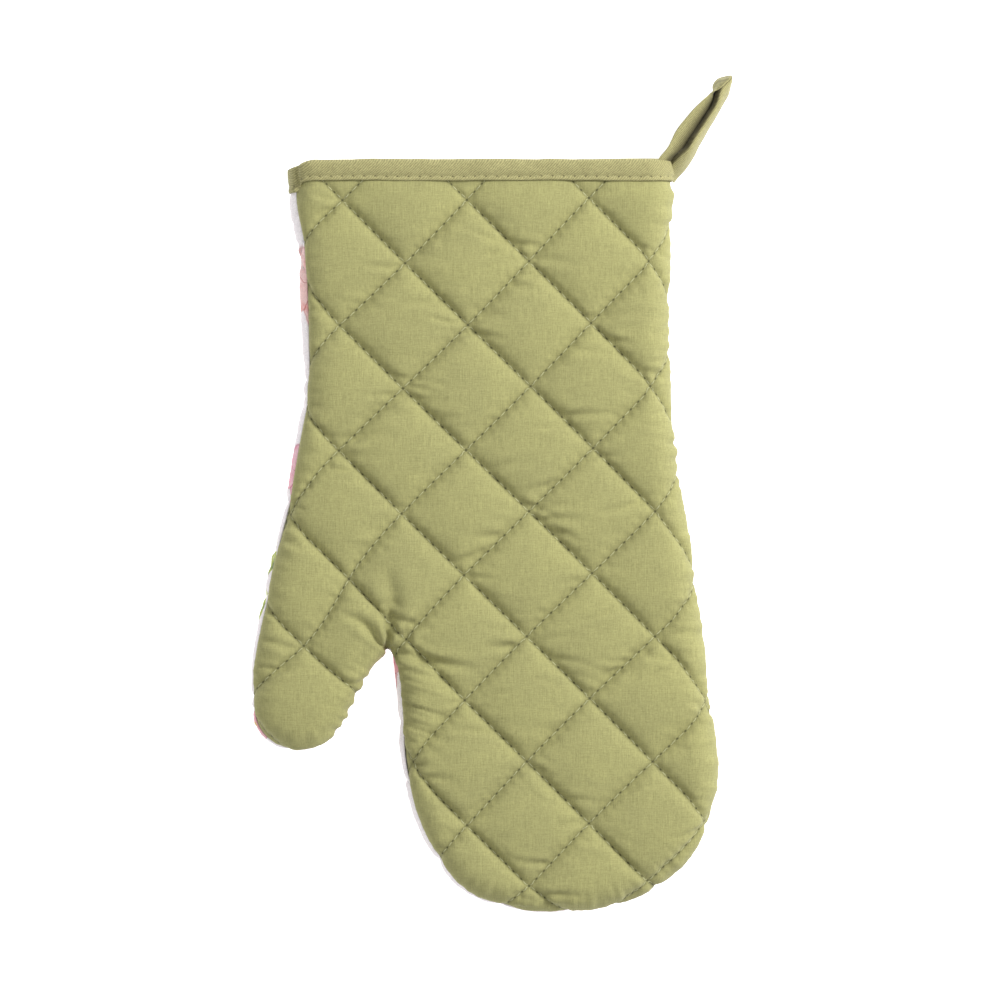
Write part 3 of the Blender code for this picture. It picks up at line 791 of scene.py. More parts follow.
class Nodes:
    """Short calls for building a material's nodes."""

    def __init__(self, name):
        self.material = bpy.data.materials.new(name)
        self.material.use_nodes = True
        self.tree = self.material.node_tree
        self.shader = self.tree.nodes["Principled BSDF"].inputs

    def node(self, kind, **settings):
        made = self.tree.nodes.new(kind)
        for key, value in settings.items():
            setattr(made, key, value)
        return made

    def link(self, source, target):
        """Join a value to a socket, or set a plain number, vector or colour on it."""
        if isinstance(source, Value):
            self.tree.links.new(source.socket, target)
        else:
            target.default_value = source

    def maths(self, operation, *values, clamp=False):
        made = self.node("ShaderNodeMath", operation=operation, use_clamp=clamp)
        for value, socket in zip(values, made.inputs):
            self.link(value, socket)
        return Value(self, made.outputs[0])

    def line(self, value, slope, offset, clamp=False):
        return self.maths("MULTIPLY_ADD", value, slope, offset, clamp=clamp)

    def length(self, a, b):
        return self.maths("SQRT", a * a + b * b)

    def off_whole(self, value):
        """How far a value is from the nearest whole number."""
        return abs(self.maths("FRACT", value + 0.5) - 0.5)

    def attribute(self, name):
        return Value(self, self.node("ShaderNodeAttribute", attribute_name=name).outputs["Vector"])

    def object_place(self):
        return Value(self, self.node("ShaderNodeTexCoord").outputs["Object"])

    def split(self, vector):
        made = self.node("ShaderNodeSeparateXYZ")
        self.link(vector, made.inputs[0])
        return [Value(self, output) for output in made.outputs]

    def join(self, x, y, z=0.0):
        made = self.node("ShaderNodeCombineXYZ")
        for value, socket in zip((x, y, z), made.inputs):
            self.link(value, socket)
        return Value(self, made.outputs[0])

    def scaled(self, vector, x, y, z):
        made = self.node("ShaderNodeVectorMath", operation="MULTIPLY")
        self.link(vector, made.inputs[0])
        self.link((x, y, z), made.inputs[1])
        return Value(self, made.outputs[0])

    def noise(self, vector, scale, detail=3.0, roughness=0.55):
        made = self.node("ShaderNodeTexNoise")
        settings = {"Vector": vector, "Scale": scale, "Detail": detail, "Roughness": roughness}
        for key, value in settings.items():
            self.link(value, made.inputs[key])
        return Value(self, made.outputs["Fac"])

    def ramp(self, value, stops):
        """Colours along a value; a stop's colour may be one grey level."""
        made = self.node("ShaderNodeValToRGB")
        elements = made.color_ramp.elements
        while len(elements) < len(stops):
            elements.new(0.5)
        for element, (position, colour) in zip(elements, stops):
            element.position = position
            element.color = (*colour, 1.0) if isinstance(colour, tuple) else (colour, colour, colour, 1.0)
        self.link(value, made.inputs[0])
        return Value(self, made.outputs[0])

    def mix(self, factor, a, b, blend="MIX"):
        made = self.node("ShaderNodeMix", data_type="RGBA", blend_type=blend, clamp_factor=True)
        self.link(factor, made.inputs["Factor"])
        colours = [socket for socket in made.inputs if socket.type == "RGBA"]
        for value, socket in zip((a, b), colours):
            self.link((*value, 1.0) if isinstance(value, tuple) else value, socket)
        return Value(self, next(output for output in made.outputs if output.type == "RGBA"))

    def multiply(self, base, *factors):
        for factor in factors:
            base = self.mix(1.0, base, factor, "MULTIPLY")
        return base

    def finish(self, colour, roughness, specular, height, strength, distance, sheen=0.0):
        """Join colour and bump to the shader and give back the material."""
        bump = self.node("ShaderNodeBump")
        self.link(height, bump.inputs["Height"])
        bump.inputs["Strength"].default_value = strength
        bump.inputs["Distance"].default_value = distance
        self.tree.links.new(bump.outputs["Normal"], self.shader["Normal"])
        self.link(colour, self.shader["Base Color"])
        self.shader["Roughness"].default_value = roughness
        self.shader["Specular IOR Level"].default_value = specular
        self.shader["Sheen Weight"].default_value = sheen
        return self.material


def weave_height(n, x, y, pitch):
    """Height of a plain weave, from coordinates in millimetres."""
    k = math.pi / pitch
    return abs(n.maths("SINE", x * k)) * abs(n.maths("SINE", y * k))


def painted_needle_hole_shade(n):
    """Mask of the painted shade in the needle holes: 1 at the holes, from the lattice coordinates carried
    by the cloth.
    """
    p, q, _ = n.split(n.attribute("lattice"))
    marks = []
    for across, along in ((p, q), (q, p)):
        near = n.off_whole(across) * (LINE_SPACING * 1.2)
        beat = n.off_whole(along * STITCHES) * (STITCH_LENGTH * 0.75)
        marks.append(n.line(n.length(near, beat), -2.6, 1.6, clamp=True))
    return n.maths("MAXIMUM", *marks)


def painted_seam_shade(n):
    """Mask of the painted shade in the quilting lines' grooves: 1 on the lines, fading within a millimetre
    and a half.
    """
    p, q, _ = n.split(n.attribute("lattice"))
    marks = [n.line(n.off_whole(across), -LINE_SPACING / 1.3, 1.0, clamp=True) for across in (p, q)]
    return n.maths("MAXIMUM", *marks)


def cotton(name, colour, dark, light, print_colour=None, painted_shade_colour=(0.06, 0.06, 0.025)):
    """Plain-weave cotton: fine weave, slubby threads, soft unevenness of dye, and painted shade along the
    quilting lines and in the needle holes.
    """
    n = Nodes(name)
    flat = n.attribute("cloth")
    x, y, _ = n.split(flat)
    slub_y = n.noise(n.join(x * 2.6, y * 0.11), 1.0, 4.0, 0.7)
    slub_x = n.noise(n.join(x * 0.11, y * 2.6), 1.0, 4.0, 0.7)
    slub = slub_y * 0.6 + slub_x * 0.4
    broad = n.noise(n.scaled(flat, 0.035, 0.035, 0.035), 1.0, 2.0)
    upright = n.noise(n.scaled(flat, 3.4, 0.5, 0.0), 1.0, 2.0, 0.8)
    level = n.noise(n.scaled(flat, 0.5, 3.4, 0.0), 1.0, 2.0, 0.8)
    base = print_colour(n, x, y) if print_colour else colour
    shade = n.ramp(slub, [(0.36, dark), (0.5, 1.0), (0.64, light)])
    tint = n.ramp(broad, [(0.3, (0.96, 0.96, 0.97)), (0.7, (1.03, 1.03, 1.02))])
    speck = n.ramp((upright + level) * 0.5, [(0.36, 0.82), (0.64, 1.16)])
    coloured = n.multiply(base, shade, tint, speck)
    # painted shade in the grooves along the quilting lines
    coloured = n.mix(painted_seam_shade(n) * 0.38, coloured, painted_shade_colour)
    # painted shade in the needle holes
    coloured = n.mix(painted_needle_hole_shade(n) * 0.85, coloured, painted_shade_colour)
    height = weave_height(n, x, y, 0.42) * 0.6 + slub * 0.8
    n.shader["Sheen Roughness"].default_value = 0.5
    return n.finish(coloured, 0.88, 0.25, height, 0.35, 0.00025, 0.12)


def plain_fabric(name, colour, roughness=0.9):
    n = Nodes(name)
    fuzz = n.noise(n.object_place(), 900.0, 4.0)
    coloured = n.multiply(colour, n.ramp(fuzz, [(0.3, 0.86), (0.7, 1.08)]))
    return n.finish(coloured, roughness, 0.2, fuzz, 0.3, 0.0003)


def blossom(n, x, y, centre, radius, turn):
    """Mask, inner shade and petal beat of one generic five-petalled blossom."""
    dx, dy = x - centre[0], y - centre[1]
    petal = abs(n.maths("COSINE", n.line(n.maths("ARCTAN2", dy, dx), 2.5, turn)))
    share = n.length(dx, dy) / n.line(petal, 0.34 * radius, 0.66 * radius)
    return n.line(share, -9.0, 9.0, clamp=True), share, petal


# Blossoms of the print: plan centre, radius, turn, pale and deep colour.
BLOSSOMS = [
    ((-104.0, 87.0), 21.5, 0.4, (0.90, 0.56, 0.52), (0.80, 0.16, 0.12)),
    ((-103.0, 12.0), 14.0, 1.1, (0.84, 0.42, 0.52), (0.80, 0.08, 0.25)),
    ((-110.0, -104.0), 13.0, 0.0, (0.82, 0.36, 0.42), (0.74, 0.10, 0.22)),
    ((-38.0, -75.0), 12.0, 2.0, (0.84, 0.22, 0.30), (0.62, 0.03, 0.10)),
    ((-40.0, 70.0), 27.0, 0.9, (0.84, 0.46, 0.40), (0.76, 0.14, 0.14)),
    ((20.0, 96.0), 22.0, 2.2, (0.85, 0.52, 0.56), (0.80, 0.16, 0.30)),
    ((60.0, 40.0), 26.0, 0.2, (0.84, 0.40, 0.34), (0.74, 0.12, 0.12)),
    ((-20.0, 0.0), 24.0, 1.6, (0.86, 0.50, 0.60), (0.78, 0.10, 0.30)),
    ((44.0, -34.0), 25.0, 0.7, (0.84, 0.42, 0.38), (0.76, 0.12, 0.14)),
    ((4.0, -100.0), 23.0, 2.6, (0.85, 0.52, 0.58), (0.80, 0.14, 0.30)),
    ((74.0, -112.0), 24.0, 1.3, (0.84, 0.44, 0.40), (0.76, 0.14, 0.16)),
    ((26.0, -168.0), 20.0, 0.5, (0.85, 0.50, 0.56), (0.80, 0.12, 0.28)),
    ((92.0, 112.0), 18.0, 1.9, (0.84, 0.46, 0.40), (0.76, 0.14, 0.14)),
]
# Leaves: plan centre, half length, half width, direction in degrees.
LEAVES = [
    ((-98.0, -18.0), 11.0, 4.0, 62.0),
    ((-103.0, -30.0), 9.0, 3.5, 110.0),
    ((-108.0, -46.0), 8.0, 3.2, 80.0),
    ((-66.0, 40.0), 14.0, 5.0, 35.0),
    ((-12.0, 44.0), 13.0, 4.6, 120.0),
    ((40.0, 66.0), 14.0, 5.0, 70.0),
    ((10.0, 26.0), 12.0, 4.4, 20.0),
    ((66.0, 0.0), 13.0, 4.8, 100.0),
    ((20.0, -62.0), 14.0, 5.0, 50.0),
    ((-60.0, -24.0), 12.0, 4.4, 10.0),
    ((38.0, -128.0), 14.0, 5.0, 130.0),
    ((-18.0, -140.0), 12.0, 4.4, 75.0),
    ((86.0, -70.0), 12.0, 4.4, 30.0),
    ((-84.0, -70.0), 11.0, 4.0, 140.0),
    ((84.0, 76.0), 12.0, 4.4, 60.0),
]
LEAF_COLOURS = [(0.35, (0.17, 0.22, 0.09)), (0.55, (0.50, 0.58, 0.13)), (0.7, (0.66, 0.68, 0.34))]
PRINT_GROUND = (0.93, 0.88, 0.895)
PETAL_GROUND = (0.83, 0.68, 0.69)
BLOSSOM_HEART = (0.72, 0.55, 0.16)


def floral_print(n, x, y):
    """White ground with blossoms and leaves, drawn a little unevenly as if in watercolour."""
    place = n.join(x, y)
    wobble = n.line(n.noise(n.scaled(place, 0.09, 0.09, 0.09), 1.0, 2.0), 7.0, -3.5)
    wet = n.noise(n.scaled(place, 0.22, 0.22, 0.22), 1.0, 4.0)
    px, py = x + wobble, y - wobble
    colour = PRINT_GROUND
    for centre, length, width, degrees in LEAVES:
        cos, sin = math.cos(math.radians(degrees)), math.sin(math.radians(degrees))
        dx, dy = px - centre[0], py - centre[1]
        u = dx * (cos / length) + dy * (sin / length)
        v = dx * (-sin / width) + dy * (cos / width)
        mask = n.line(u * u + abs(v), -6.0, 6.0, clamp=True)
        colour = n.mix(mask, colour, n.ramp(wet, LEAF_COLOURS))
    for centre, radius, turn, pale, deep in BLOSSOMS:
        mask, share, petal = blossom(n, px, py, centre, radius, turn)
        tone = n.line(wet, 1.6, -0.8) + share * 0.55
        body = n.mix(n.line(share, -0.55, 0.95, clamp=True), PETAL_GROUND, pale)
        body = n.mix(n.line(tone, 1.2, -0.4, clamp=True), body, deep)
        edge = n.line(abs(share - 0.93), -16.0, 1.0, clamp=True)
        vein = n.line(petal, -7.0, 1.0, clamp=True)
        body = n.mix(n.maths("MAXIMUM", edge, vein) * 0.75, body, tuple(0.6 * c for c in deep))
        body = n.mix(n.line(share, -6.0, 1.3, clamp=True), body, BLOSSOM_HEART)
        colour = n.mix(mask, colour, body)
    return colour


def twill(name, colour):
    """The binding's twill: fine slanting ribs, painted shade in the needle holes, and painted shade on the
    inside of the loop.
    """
    n = Nodes(name)
    reach, row, _ = n.split(n.attribute("strip"))
    place = n.object_place()
    x, y, z = n.split(place)
    slant = x * -1000.0 + y * 1000.0 + z * 700.0 + n.noise(place, 450.0, 2.0) * 1.6
    rib = n.line(n.maths("SINE", slant * (2 * math.pi / RIB_PITCH)), 0.5, 0.5)
    fuzz = n.noise(place, 900.0, 4.0, 0.7)
    shade = n.ramp(rib * 0.45 + fuzz * 0.85, [(0.35, (0.66, 0.66, 0.64)), (0.95, 1.24)])
    tint = n.ramp(n.noise(place, 90.0, 3.0), [(0.3, (0.95, 0.95, 0.94)), (0.7, 1.05)])
    base = n.multiply(colour, shade, tint)
    # painted shade in the needle holes of the stitch row
    beat = n.off_whole(reach * (1.0 / STITCH_LENGTH)) * STITCH_LENGTH
    gap = n.length(beat, abs(row - STITCH_ROW) * 0.8)
    base = n.mix(n.line(gap, -1.9, 1.25, clamp=True), base, (0.10, 0.09, 0.04))
    # painted shade inside the loop, where its plies shadow each other
    base = n.mix(n.split(n.attribute("shade"))[0], base, (0.05, 0.042, 0.018))
    return n.finish(base, 0.85, 0.25, rib + fuzz * 0.8, 0.4, 0.0003, 0.1)


GREEN_MATERIAL = cotton("green cotton", (0.340, 0.328, 0.136), (0.80, 0.80, 0.78), (1.18, 1.18, 1.16))
WHITE_MATERIAL = cotton("printed cotton", None, 0.96, 1.03, floral_print, (0.35, 0.33, 0.33))
LINING_MATERIAL = plain_fabric("lining cotton", (0.74, 0.72, 0.66))
WADDING_MATERIAL = plain_fabric("wadding", (0.86, 0.86, 0.84))
TAPE_MATERIAL = twill("binding strip", (0.35, 0.325, 0.15))
THREAD_MATERIAL = plain_fabric("green thread", (0.46, 0.46, 0.25), 0.6)
BINDING_THREAD_MATERIAL = plain_fabric("binding thread", (0.40, 0.375, 0.19), 0.7)
WHITE_THREAD_MATERIAL = plain_fabric("white thread", (0.78, 0.77, 0.74), 0.6)


# ---------------------------------------------------------------- panels


def tell(obj, node_names, material):
    """Material, the CAD nodes the piece stands for and its body."""
    obj.data.materials.append(material)
    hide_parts(*node_names)
    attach(obj, "mitt")
    return obj


def make_cover(name, side, material):
    """A panel's outer cloth, and the flat cloth and base places it came from."""
    cloth = Cloth(side)
    places = simulate(cloth)
    carried = [
        ("cloth", np.column_stack([cloth.plan, cloth.reach_along])),
        ("lattice", np.column_stack([cloth.lattice, cloth.rim])),
    ]
    cover = new_object(name + "_cover", places, cloth.faces, carried)
    fix_winding(cover.data, side)
    subdivide(cover)
    mesh = cover.data
    at, normals = mesh_arrays(mesh)
    flat, grid = read_attribute(mesh, "cloth"), read_attribute(mesh, "lattice")
    plan, reach = flat[:, :2], flat[:, 2]
    lattice, rim = grid[:, :2], grid[:, 2]
    shift = pucker_field(name, plan, lattice, rim, reach)
    if side > 0:
        shift += crease_field(plan, lattice, np.maximum(rim, 0.0))
    at = at + normals * shift[:, None]
    if side < 0:
        at[:, 2] = np.maximum(at[:, 2], CLOTH * 0.1)
    set_places(mesh, at)
    surface = BVHTree.FromObject(cover, bpy.context.evaluated_depsgraph_get())
    thicken(cover, CLOTH)
    tell(cover, [name + "_outer"], material)
    return cloth, places, cover, surface


def make_layer(name, part, cloth, top, bottom, material, node):
    """A closed slab between two sheets of places that share the cloth's faces."""
    count = len(cloth.plan)
    under = [[i + count for i in face[::-1]] for face in cloth.faces]
    ring = list(range(cloth.ring_count))
    wall = [[a + count, b + count, b, a] for a, b in zip(ring, ring[1:] + ring[:1])]
    obj = new_object(f"{name}_{part}", np.vstack([top, bottom]), cloth.faces + under + wall)
    recalculate_normals(obj)
    return tell(obj, [f"{name}_{node}"], material)


def held_depth(cloth, free, held, swell):
    """Depth of an inner layer: free over the mitt, held in the binding, puffed between the lines."""
    share = squeeze(cloth.plan)
    depth = free + swell * pillow(cloth.lattice) * (1 - cloth.turn)
    return depth * (1 - share) + held * share


def make_panel(name, side, material):
    """One panel: cover, wadding and lining; gives back what its stitches need."""
    cloth, places, cover, surface = make_cover(name, side, material)
    wadding_top = np.maximum(start_depth(cloth) + CLOTH + 0.5, SEAM_PINCH + 2.2)
    shift = pucker_field(name, cloth.plan, cloth.lattice, cloth.rim, cloth.reach_along)
    if side > 0:
        shift += crease_field(cloth.plan, cloth.lattice, cloth.turn, 1.6)
    inset = CLOTH + 1.1 + 1.4 * limit(cloth.turn * 4.0 - 3.0) - 1.4 * np.minimum(shift, 0.0)
    inset += 0.9 * hill(crotch_gap(cloth.plan), 20.0)
    inset = np.minimum(inset, 6.2 - start_depth(cloth))
    below = places - outward(cloth) * inset[:, None]
    border = np.arange(len(places)) < cloth.ring_count
    below[border] = cloth.place(wadding_top)[border]
    wadding_back = held_depth(cloth, 6.4, 5.9, 0.5)
    under = cloth.place(wadding_back)
    batting = make_layer(name, "batting", cloth, below, under, WADDING_MATERIAL, "wadding")
    lining_face = wadding_back + 0.15
    top, bottom = cloth.place(lining_face), cloth.place(lining_face + LINING)
    lining = make_layer(name, "inner", cloth, top, bottom, LINING_MATERIAL, "lining")
    return cloth, places, surface, lining_face + LINING


def outward(cloth):
    """Unit normals of the mitt's smooth envelope."""
    return unit(cloth.place(0.0) - cloth.place(1.0))


# ---------------------------------------------------------------- stitches


NEEDLE_LIFT = 0.16  # of a stitch's middle above the cloth
NEEDLE_SINK = 0.40  # of its ends below the cloth
SEAM_STITCH = 3.2


def capsule_rows(centres, normals, radius):
    """Rings of a thread along its centres, thin at both ends."""
    sides = 6
    tangent = unit(np.gradient(centres, axis=0))
    across = unit(np.cross(tangent, normals))
    up = np.cross(across, tangent)
    rows = []
    count = len(centres)
    for i in range(count):
        swell = 0.45 + 0.55 * math.sin(math.pi * (i + 0.5) / count)
        for k in range(sides):
            angle = 2 * math.pi * k / sides
            around = across[i] * math.cos(angle) + up[i] * math.sin(angle)
            rows.append(centres[i] + radius * swell * around)
    return rows, tube_faces(count, sides)


def thread_object(name, runs, radius, nodes, material):
    """One object of many stitches; each run is a list of centres with normals."""
    vertices, faces = [], []
    for centres, normals in runs:
        rows, quads = capsule_rows(centres, normals, radius)
        start = len(vertices)
        vertices += rows
        faces += [[i + start for i in f] for f in quads]
    obj = new_object(name, np.array(vertices), faces)
    return tell(obj, nodes, material)


def quilting_runs(cloth, places):
    """Each quilting line's family, positions along it, and places."""
    lines = {}
    for (p, q), i in cloth.grid.items():
        if p % CELLS == 0:
            lines.setdefault(("p", p), []).append((q, i))
        if q % CELLS == 0:
            lines.setdefault(("q", q), []).append((p, i))
    runs = []
    for (family, _), line in lines.items():
        line.sort()
        run = [line[0]]
        for item in line[1:]:
            if item[0] != run[-1][0] + 1:
                runs.append((family, run))
                run = []
            run.append(item)
        runs.append((family, run))
    return [
        (family, np.array([r[0] for r in run]) / CELLS, places[[r[1] for r in run]])
        for family, run in runs
        if len(run) > 4
    ]


def stitch_places(cloth, places, points):
    """Family and points of each stitch along the quilting lines, with gaps at the needle holes."""
    for family, position, line in quilting_runs(cloth, places):
        for k in range(math.ceil(position[0] * STITCHES), math.floor(position[-1] * STITCHES)):
            yield family, sample(np.linspace(k + 0.1, k + 0.9, points) / STITCHES, position, line)


def arches(count):
    """0 at both ends of a stitch and 1 in its middle."""
    return np.sin(np.linspace(0, math.pi, count))[:, None]


def make_quilting(name, cloth, places, surface, lining_depth, material):
    """Needle thread laid on the cover, and bobbin thread on the lining."""
    needle = []
    for family, points in stitch_places(cloth, places, 7):
        lift = NEEDLE_LIFT if family == "p" else NEEDLE_LIFT - 0.17
        found = [surface.find_nearest(Vector(point) * MM) for point in points]
        hits, normals = np.array([f[0] for f in found]) / MM, np.array([f[1] for f in found])
        arch = arches(len(points))
        needle.append((hits + normals * (lift * arch - NEEDLE_SINK * (1 - arch)), normals))
    thread_object(name + "_stitches", needle, 0.23, [name + "_quilting_thread"], material)
    bobbin = []
    for _, points in stitch_places(cloth, np.hstack([cloth.place(lining_depth), -outward(cloth)]), 4):
        arch = arches(len(points))
        bobbin.append((points[:, :3] + points[:, 3:] * (0.3 * arch - 0.2), points[:, 3:]))
    thread_object(name + "_bobbin_stitches", bobbin, 0.28, [name + "_bobbin_thread"], material)


def make_seam_stitches():
    """Ladder of small stitches deep in the seam between the panels."""
    depth = SEAM_PINCH + 1.0
    out = (EDGE_R - depth) * np.cos(EDGE.seam)
    height = EDGE_R + (EDGE_R - depth) * np.sin(EDGE.seam)
    line = np.column_stack([EDGE.flat + EDGE.normal * out[:, None], height])
    normal = np.column_stack([EDGE.normal * np.cos(EDGE.seam)[:, None], np.sin(EDGE.seam)])
    reach = run_length(line)
    runs = []
    for k in range(2, int(reach[-1] / SEAM_STITCH) - 2):
        t = np.linspace(k * SEAM_STITCH, k * SEAM_STITCH + 2.5, 5)
        points = sample(t, reach, line)
        if points[0, 1] < CUFF_EDGE - 3.0:
            runs.append((points, sample(t, reach, normal)))
    thread_object("seam_stitches", runs, 0.22, ["side_seam_thread"], THREAD_MATERIAL)


palm, palm_places, palm_surface, palm_inner = make_panel("palm", 1, GREEN_MATERIAL)
back, back_places, back_surface, back_inner = make_panel("back", -1, WHITE_MATERIAL)
make_quilting("palm", palm, palm_places, palm_surface, palm_inner, THREAD_MATERIAL)
make_quilting("back", back, back_places, back_surface, back_inner, WHITE_THREAD_MATERIAL)
make_seam_stitches()

# ---------------------------------------------------------------- binding


def mouth_path():
    """Foot (x) and outward direction (x, z) for each station once round the mouth."""
    right, left = EDGE.flat[0][0], EDGE.flat[-1][0]
    width = right - left
    level = np.linspace(0.0, 1.0, int(width / 1.6))[1:-1]
    arc = np.linspace(-math.pi / 2, math.pi / 2, 36)
    path = [(right, math.cos(a), math.sin(a)) for a in arc]
    path += [(right - width * t, 0.0, 1.0) for t in level]
    path += [(left, -math.cos(a), math.sin(a)) for a in arc[::-1]]
    path += [(left + width * t, 0.0, -1.0) for t in level]
    return path


# The binding's cross-section: depth below the mitt's envelope, and distance above its lower edge.
BINDING_PROFILE = [
    (1.95, 0.70), (1.75, 0.05), (1.35, -0.15), (1.05, 0.10), (0.95, 0.60), (1.05, 1.15), (1.42, 1.70),
    (1.20, 2.30), (0.85, 2.93), (0.62, 4.44), (0.60, 6.04), (0.80, 7.50), (1.25, 8.50), (1.95, 9.10),
    (2.90, 9.30), (4.40, 9.30), (6.00, 9.20), (7.00, 8.80), (7.70, 8.00), (8.00, 6.57), (8.05, 4.44),
    (7.90, 2.31), (7.60, 1.20), (7.20, 0.90), (6.95, 1.20), (6.95, 3.55), (6.95, 7.70), (4.40, 8.10),
    (1.95, 7.70), (1.95, 3.55),
]
EDGE_ROWS = 9  # these rows of the profile hang down at the left corner
OUTER_ROWS = 17  # and these wave, as they are the binding's outer face and its fold


def clamp(value):
    """A single number kept between 0 and 1."""
    return max(0.0, min(1.0, value))


def binding_wave(reach, level):
    """Small waves of the binding: shift of its edge, and in depth."""
    edge = 0.42 * noise.noise(Vector((reach / 17.0, level * 0.1, 5.0)))
    edge += 0.16 * noise.noise(Vector((reach / 5.0, level * 0.2, 9.0)))
    deep = 0.30 * noise.noise(Vector((reach / 9.0, level * 0.25, 2.0)))
    return edge, deep


def left_corner(x):
    """How far the binding's lower edge hangs down round the mitt's left corner."""
    side, ease = clamp((-82.5 - x) / 3.0), clamp((-77.0 - x) / 7.0)
    return 3.4 * side * side * (3 - 2 * side) + 1.6 * ease * ease


def make_binding():
    """The strip folded over the mouth, its stitch groove, and the stitches in it."""
    vertices, strip, stitch_line = [], [], []
    path = mouth_path()
    rows = len(BINDING_PROFILE)
    reaches = run_length(np.array([(foot + nx * EDGE_R, nz * EDGE_R) for foot, nx, nz in path]))
    for (foot, nx, nz), reach in zip(path, reaches):
        x_side = foot + nx * EDGE_R
        drop = left_corner(x_side)
        crease = 2.0 * hill(x_side + 84.4, 0.8) if nz > 0 else 0.0
        tuck = 0.35 * (0.5 + 0.5 * math.cos(2 * math.pi * reach / STITCH_LENGTH)) - 0.15
        right_end = max(0.0, nx) if foot > 0 else 0.0
        for row, (depth, height) in enumerate(BINDING_PROFILE):
            y = CUFF_EDGE + height
            part = height / (CUFF_TOP - CUFF_EDGE)
            edge, deep = binding_wave(reach, y)
            if row < EDGE_ROWS:
                y -= drop * (1 - part)
            y += edge * (1.0 if row < OUTER_ROWS else 0.4)
            y -= cuff_corners(x_side, max(0.0, part))
            if row < OUTER_ROWS:
                depth += deep * math.sin(math.pi * clamp(part))
                depth += crease * (1 - 0.5 * part)
                depth -= 0.9 * right_end * math.sin(math.pi * min(1.0, 0.15 + 0.7 * max(0.0, part)))
            depth += tuck * {0: 1.0, 1: 0.4}.get(abs(row - STITCH_ROW), 0.0)
            radius = EDGE_R - depth
            vertices.append((foot + nx * radius, y, EDGE_R + nz * radius))
            strip.append((reach, row, y))
        stitch_line.append((*vertices[STITCH_ROW - rows], nx, 0.0, nz))
    obj = new_object("binding", vertices, tube_faces(len(path), rows, closed=True), [("strip", strip)])
    recalculate_normals(obj)
    subdivide(obj)
    tell(obj, ["cuff_binding"], TAPE_MATERIAL)
    make_binding_stitches(reaches, np.array(stitch_line))


def make_binding_stitches(reach, line):
    """Topstitches along a line whose rows hold place and outward direction."""
    runs = []
    for k in range(int(reach[-1] / STITCH_LENGTH)):
        points = sample((k + np.linspace(0.13, 0.87, 6)) * STITCH_LENGTH, reach, line)
        up = points[:, 3:]
        runs.append((points[:, :3] + up * 0.2 * (arches(len(points)) - 1.0), up))
    thread_object("binding_stitches", runs, 0.2, ["binding_thread"], BINDING_THREAD_MATERIAL)


make_binding()

# ---------------------------------------------------------------- hanging loop

# Edge, middle and other edge of the strip, from under the binding out along the inner ply, round
# the crown and back along the outer ply.
LOOP = [
    ((70.6, 136.5, 22.0), (74.4, 136.5, 18.4), (77.5, 136.5, 13.6)),
    ((71.2, 141.5, 22.4), (75.4, 141.3, 18.6), (78.6, 140.8, 13.8)),
    ((72.9, 145.0, 23.0), (78.0, 144.6, 19.0), (81.8, 143.4, 14.0)),
    ((76.4, 149.4, 22.8), (81.8, 148.0, 18.6), (86.0, 146.6, 13.2)),
    ((79.8, 156.0, 22.4), (85.6, 153.4, 18.2), (89.3, 151.2, 12.6)),
    ((84.3, 161.9, 22.0), (89.2, 159.0, 17.6), (92.0, 157.0, 12.2)),
    ((88.7, 167.0, 21.6), (92.8, 164.9, 17.0), (95.4, 163.2, 11.8)),
    ((92.3, 170.4, 21.2), (95.8, 169.9, 16.4), (98.0, 169.2, 11.4)),
    ((94.8, 172.7, 21.0), (95.8, 173.0, 16.0), (96.4, 173.6, 11.2)),
    ((98.1, 174.5, 21.0), (96.6, 175.4, 16.6), (95.9, 176.4, 11.2)),
    ((101.2, 177.0, 20.8), (99.4, 178.2, 16.4), (98.3, 179.3, 11.2)),
    ((103.4, 179.6, 20.2), (103.2, 180.0, 15.6), (102.6, 180.3, 10.8)),
    ((101.2, 178.6, 15.4), (102.8, 177.6, 17.8), (103.6, 177.7, 10.6)),
    ((97.6, 175.2, 15.6), (100.0, 173.9, 19.8), (102.5, 173.0, 11.2)),
    ((95.6, 168.4, 17.2), (97.7, 167.9, 20.4), (99.7, 167.8, 11.6)),
    ((92.6, 163.3, 17.6), (94.6, 162.5, 20.8), (96.6, 162.0, 12.0)),
    ((89.2, 158.3, 18.0), (91.2, 157.3, 21.4), (93.0, 156.4, 12.4)),
    ((85.9, 153.4, 18.4), (88.0, 152.2, 22.0), (90.0, 151.0, 12.8)),
    ((83.4, 149.4, 18.4), (85.4, 147.9, 22.2), (87.4, 145.8, 13.2)),
    ((79.6, 146.4, 18.2), (81.8, 144.4, 21.0), (84.4, 141.0, 13.2)),
    ((76.8, 143.2, 16.4), (78.4, 140.8, 18.4), (80.9, 137.0, 12.2)),
    ((75.6, 140.4, 15.4), (76.8, 137.4, 16.8), (78.8, 134.4, 11.6)),
]
LOOP_STEPS = 8  # parts between two of these stations
CROWN = 8.5  # the inner ply ends at this station
LOOP_THICK = 1.0
NO_STITCHES = -10.0  # a row far from the binding's stitch row


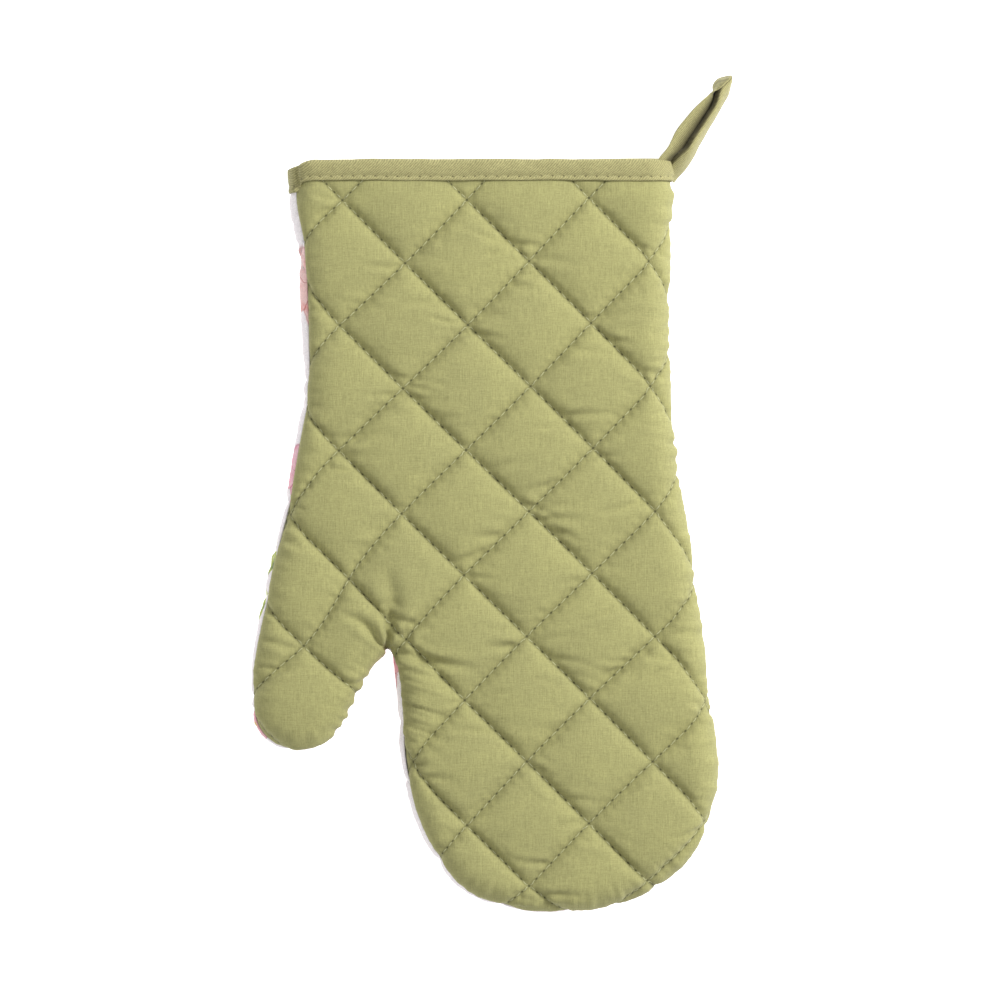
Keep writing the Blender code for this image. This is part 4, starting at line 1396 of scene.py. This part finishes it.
def make_loop():
    """The strip as one piece, bent at the cuff, with painted shade on its inside as an attribute."""
    upper, middle, lower = (spline(line, lambda _: LOOP_STEPS) for line in zip(*LOOP))
    along = unit(np.gradient(middle, axis=0))
    reach = run_length(middle)
    section = [(-1.0 + k / 6.0, 1.0) for k in range(13)] + [(1.05, 0.0)]
    section += [(1.0 - k / 6.0, -1.0) for k in range(13)] + [(-1.05, 0.0)]
    vertices, strip, shade = [], [], []
    for i in range(len(middle)):
        station = i / LOOP_STEPS
        for w, h in section:
            # painted shade: the inner ply darkens where the outer ply shadows it
            if station < CROWN:  # the inner ply darkens towards the outer one
                deep = clamp((w + 0.85) / 0.6) ** 1.3 * (1.0 if h < 0 else 0.3)
            else:
                # painted shade on the outer ply's half that faces into the loop
                deep = clamp((-0.2 - w) / 0.12) * clamp(station - 11.0)
            shade.append((0.85 * deep, 0.0, 0.0))
            place = upper[i] * (w * w - w) / 2 + middle[i] * (1 - w * w) + lower[i] * (w * w + w) / 2
            across = upper[i] * (w - 0.5) - middle[i] * 2 * w + lower[i] * (w + 0.5)
            face = np.cross(along[i], across)
            face /= np.linalg.norm(face)
            soft = 0.22 * noise.noise(Vector((reach[i] / 6.0, w * 1.5, 4.0)))
            rounded = h * (1.0 - 0.35 * abs(w) ** 6)
            vertices.append(place + face * (rounded * LOOP_THICK / 2 + soft))
            strip.append((reach[i], NO_STITCHES, h))
    faces = tube_faces(len(middle), len(section))
    obj = new_object("loop_strip", vertices, faces, [("strip", strip), ("shade", shade)])
    recalculate_normals(obj)
    obj.data.materials.append(TAPE_MATERIAL)
    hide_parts("loop_tails", "hanging_loop")
    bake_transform(obj)


make_loop()

# ---------------------------------------------------------------- camera, floor and light

CAMERA_HEIGHT = 2.6  # metres, as all lengths of this part
FOCUS_HEIGHT = 0.02
VIEW_WIDTH = 0.431  # what the picture spans at that height
SENSOR = 36.0  # in millimetres, as Blender takes it
FLOOR_HALF = 6.0


def make_stage():
    """A wide white floor just under the mitt."""
    floor_mesh = bpy.data.meshes.new("floor")
    corners = [(x * FLOOR_HALF, y * FLOOR_HALF, 0) for x, y in ((-1, -1), (1, -1), (1, 1), (-1, 1))]
    floor_mesh.from_pydata(corners, [], [(0, 1, 2, 3)])
    floor = bpy.data.objects.new("floor", floor_mesh)
    floor.location.z = -0.0005
    bpy.context.scene.collection.objects.link(floor)
    n = Nodes("floor")
    n.shader["Base Color"].default_value = (0.8, 0.8, 0.8, 1.0)
    n.shader["Roughness"].default_value = 1.0
    n.shader["Emission Color"].default_value = (1.0, 1.0, 1.0, 1.0)
    n.shader["Emission Strength"].default_value = 0.75
    floor_mesh.materials.append(n.material)


def add_area(name, place, size, power):
    """A round lamp aimed at the middle of the mitt."""
    light = bpy.data.lights.new(name, "AREA")
    light.shape = "DISK"
    light.size = size
    light.energy = power
    obj = bpy.data.objects.new(name, light)
    obj.location = place
    obj.rotation_euler = (-Vector(place)).to_track_quat("-Z", "Y").to_euler()
    bpy.context.scene.collection.objects.link(obj)


def make_camera():
    """A camera looking straight down from far above."""
    camera = bpy.data.cameras.new("camera")
    camera.sensor_width = SENSOR
    camera.lens = SENSOR * (CAMERA_HEIGHT - FOCUS_HEIGHT) / VIEW_WIDTH
    camera.clip_end = 20.0
    obj = bpy.data.objects.new("camera", camera)
    obj.location = (0.0037, -0.0028, CAMERA_HEIGHT)
    bpy.context.scene.collection.objects.link(obj)
    bpy.context.scene.camera = obj


make_stage()
make_camera()
add_area("key", (1.15, 0.75, 1.05), 0.6, 34.0)
add_area("fill", (-1.2, -0.4, 2.0), 1.6, 8.0)
world = bpy.data.worlds.new("studio")
world.use_nodes = True
world.node_tree.nodes["Background"].inputs["Color"].default_value = (1.0, 1.0, 1.0, 1.0)
world.node_tree.nodes["Background"].inputs["Strength"].default_value = 0.5
bpy.context.scene.world = world
bpy.context.scene.view_settings.view_transform = "Standard"
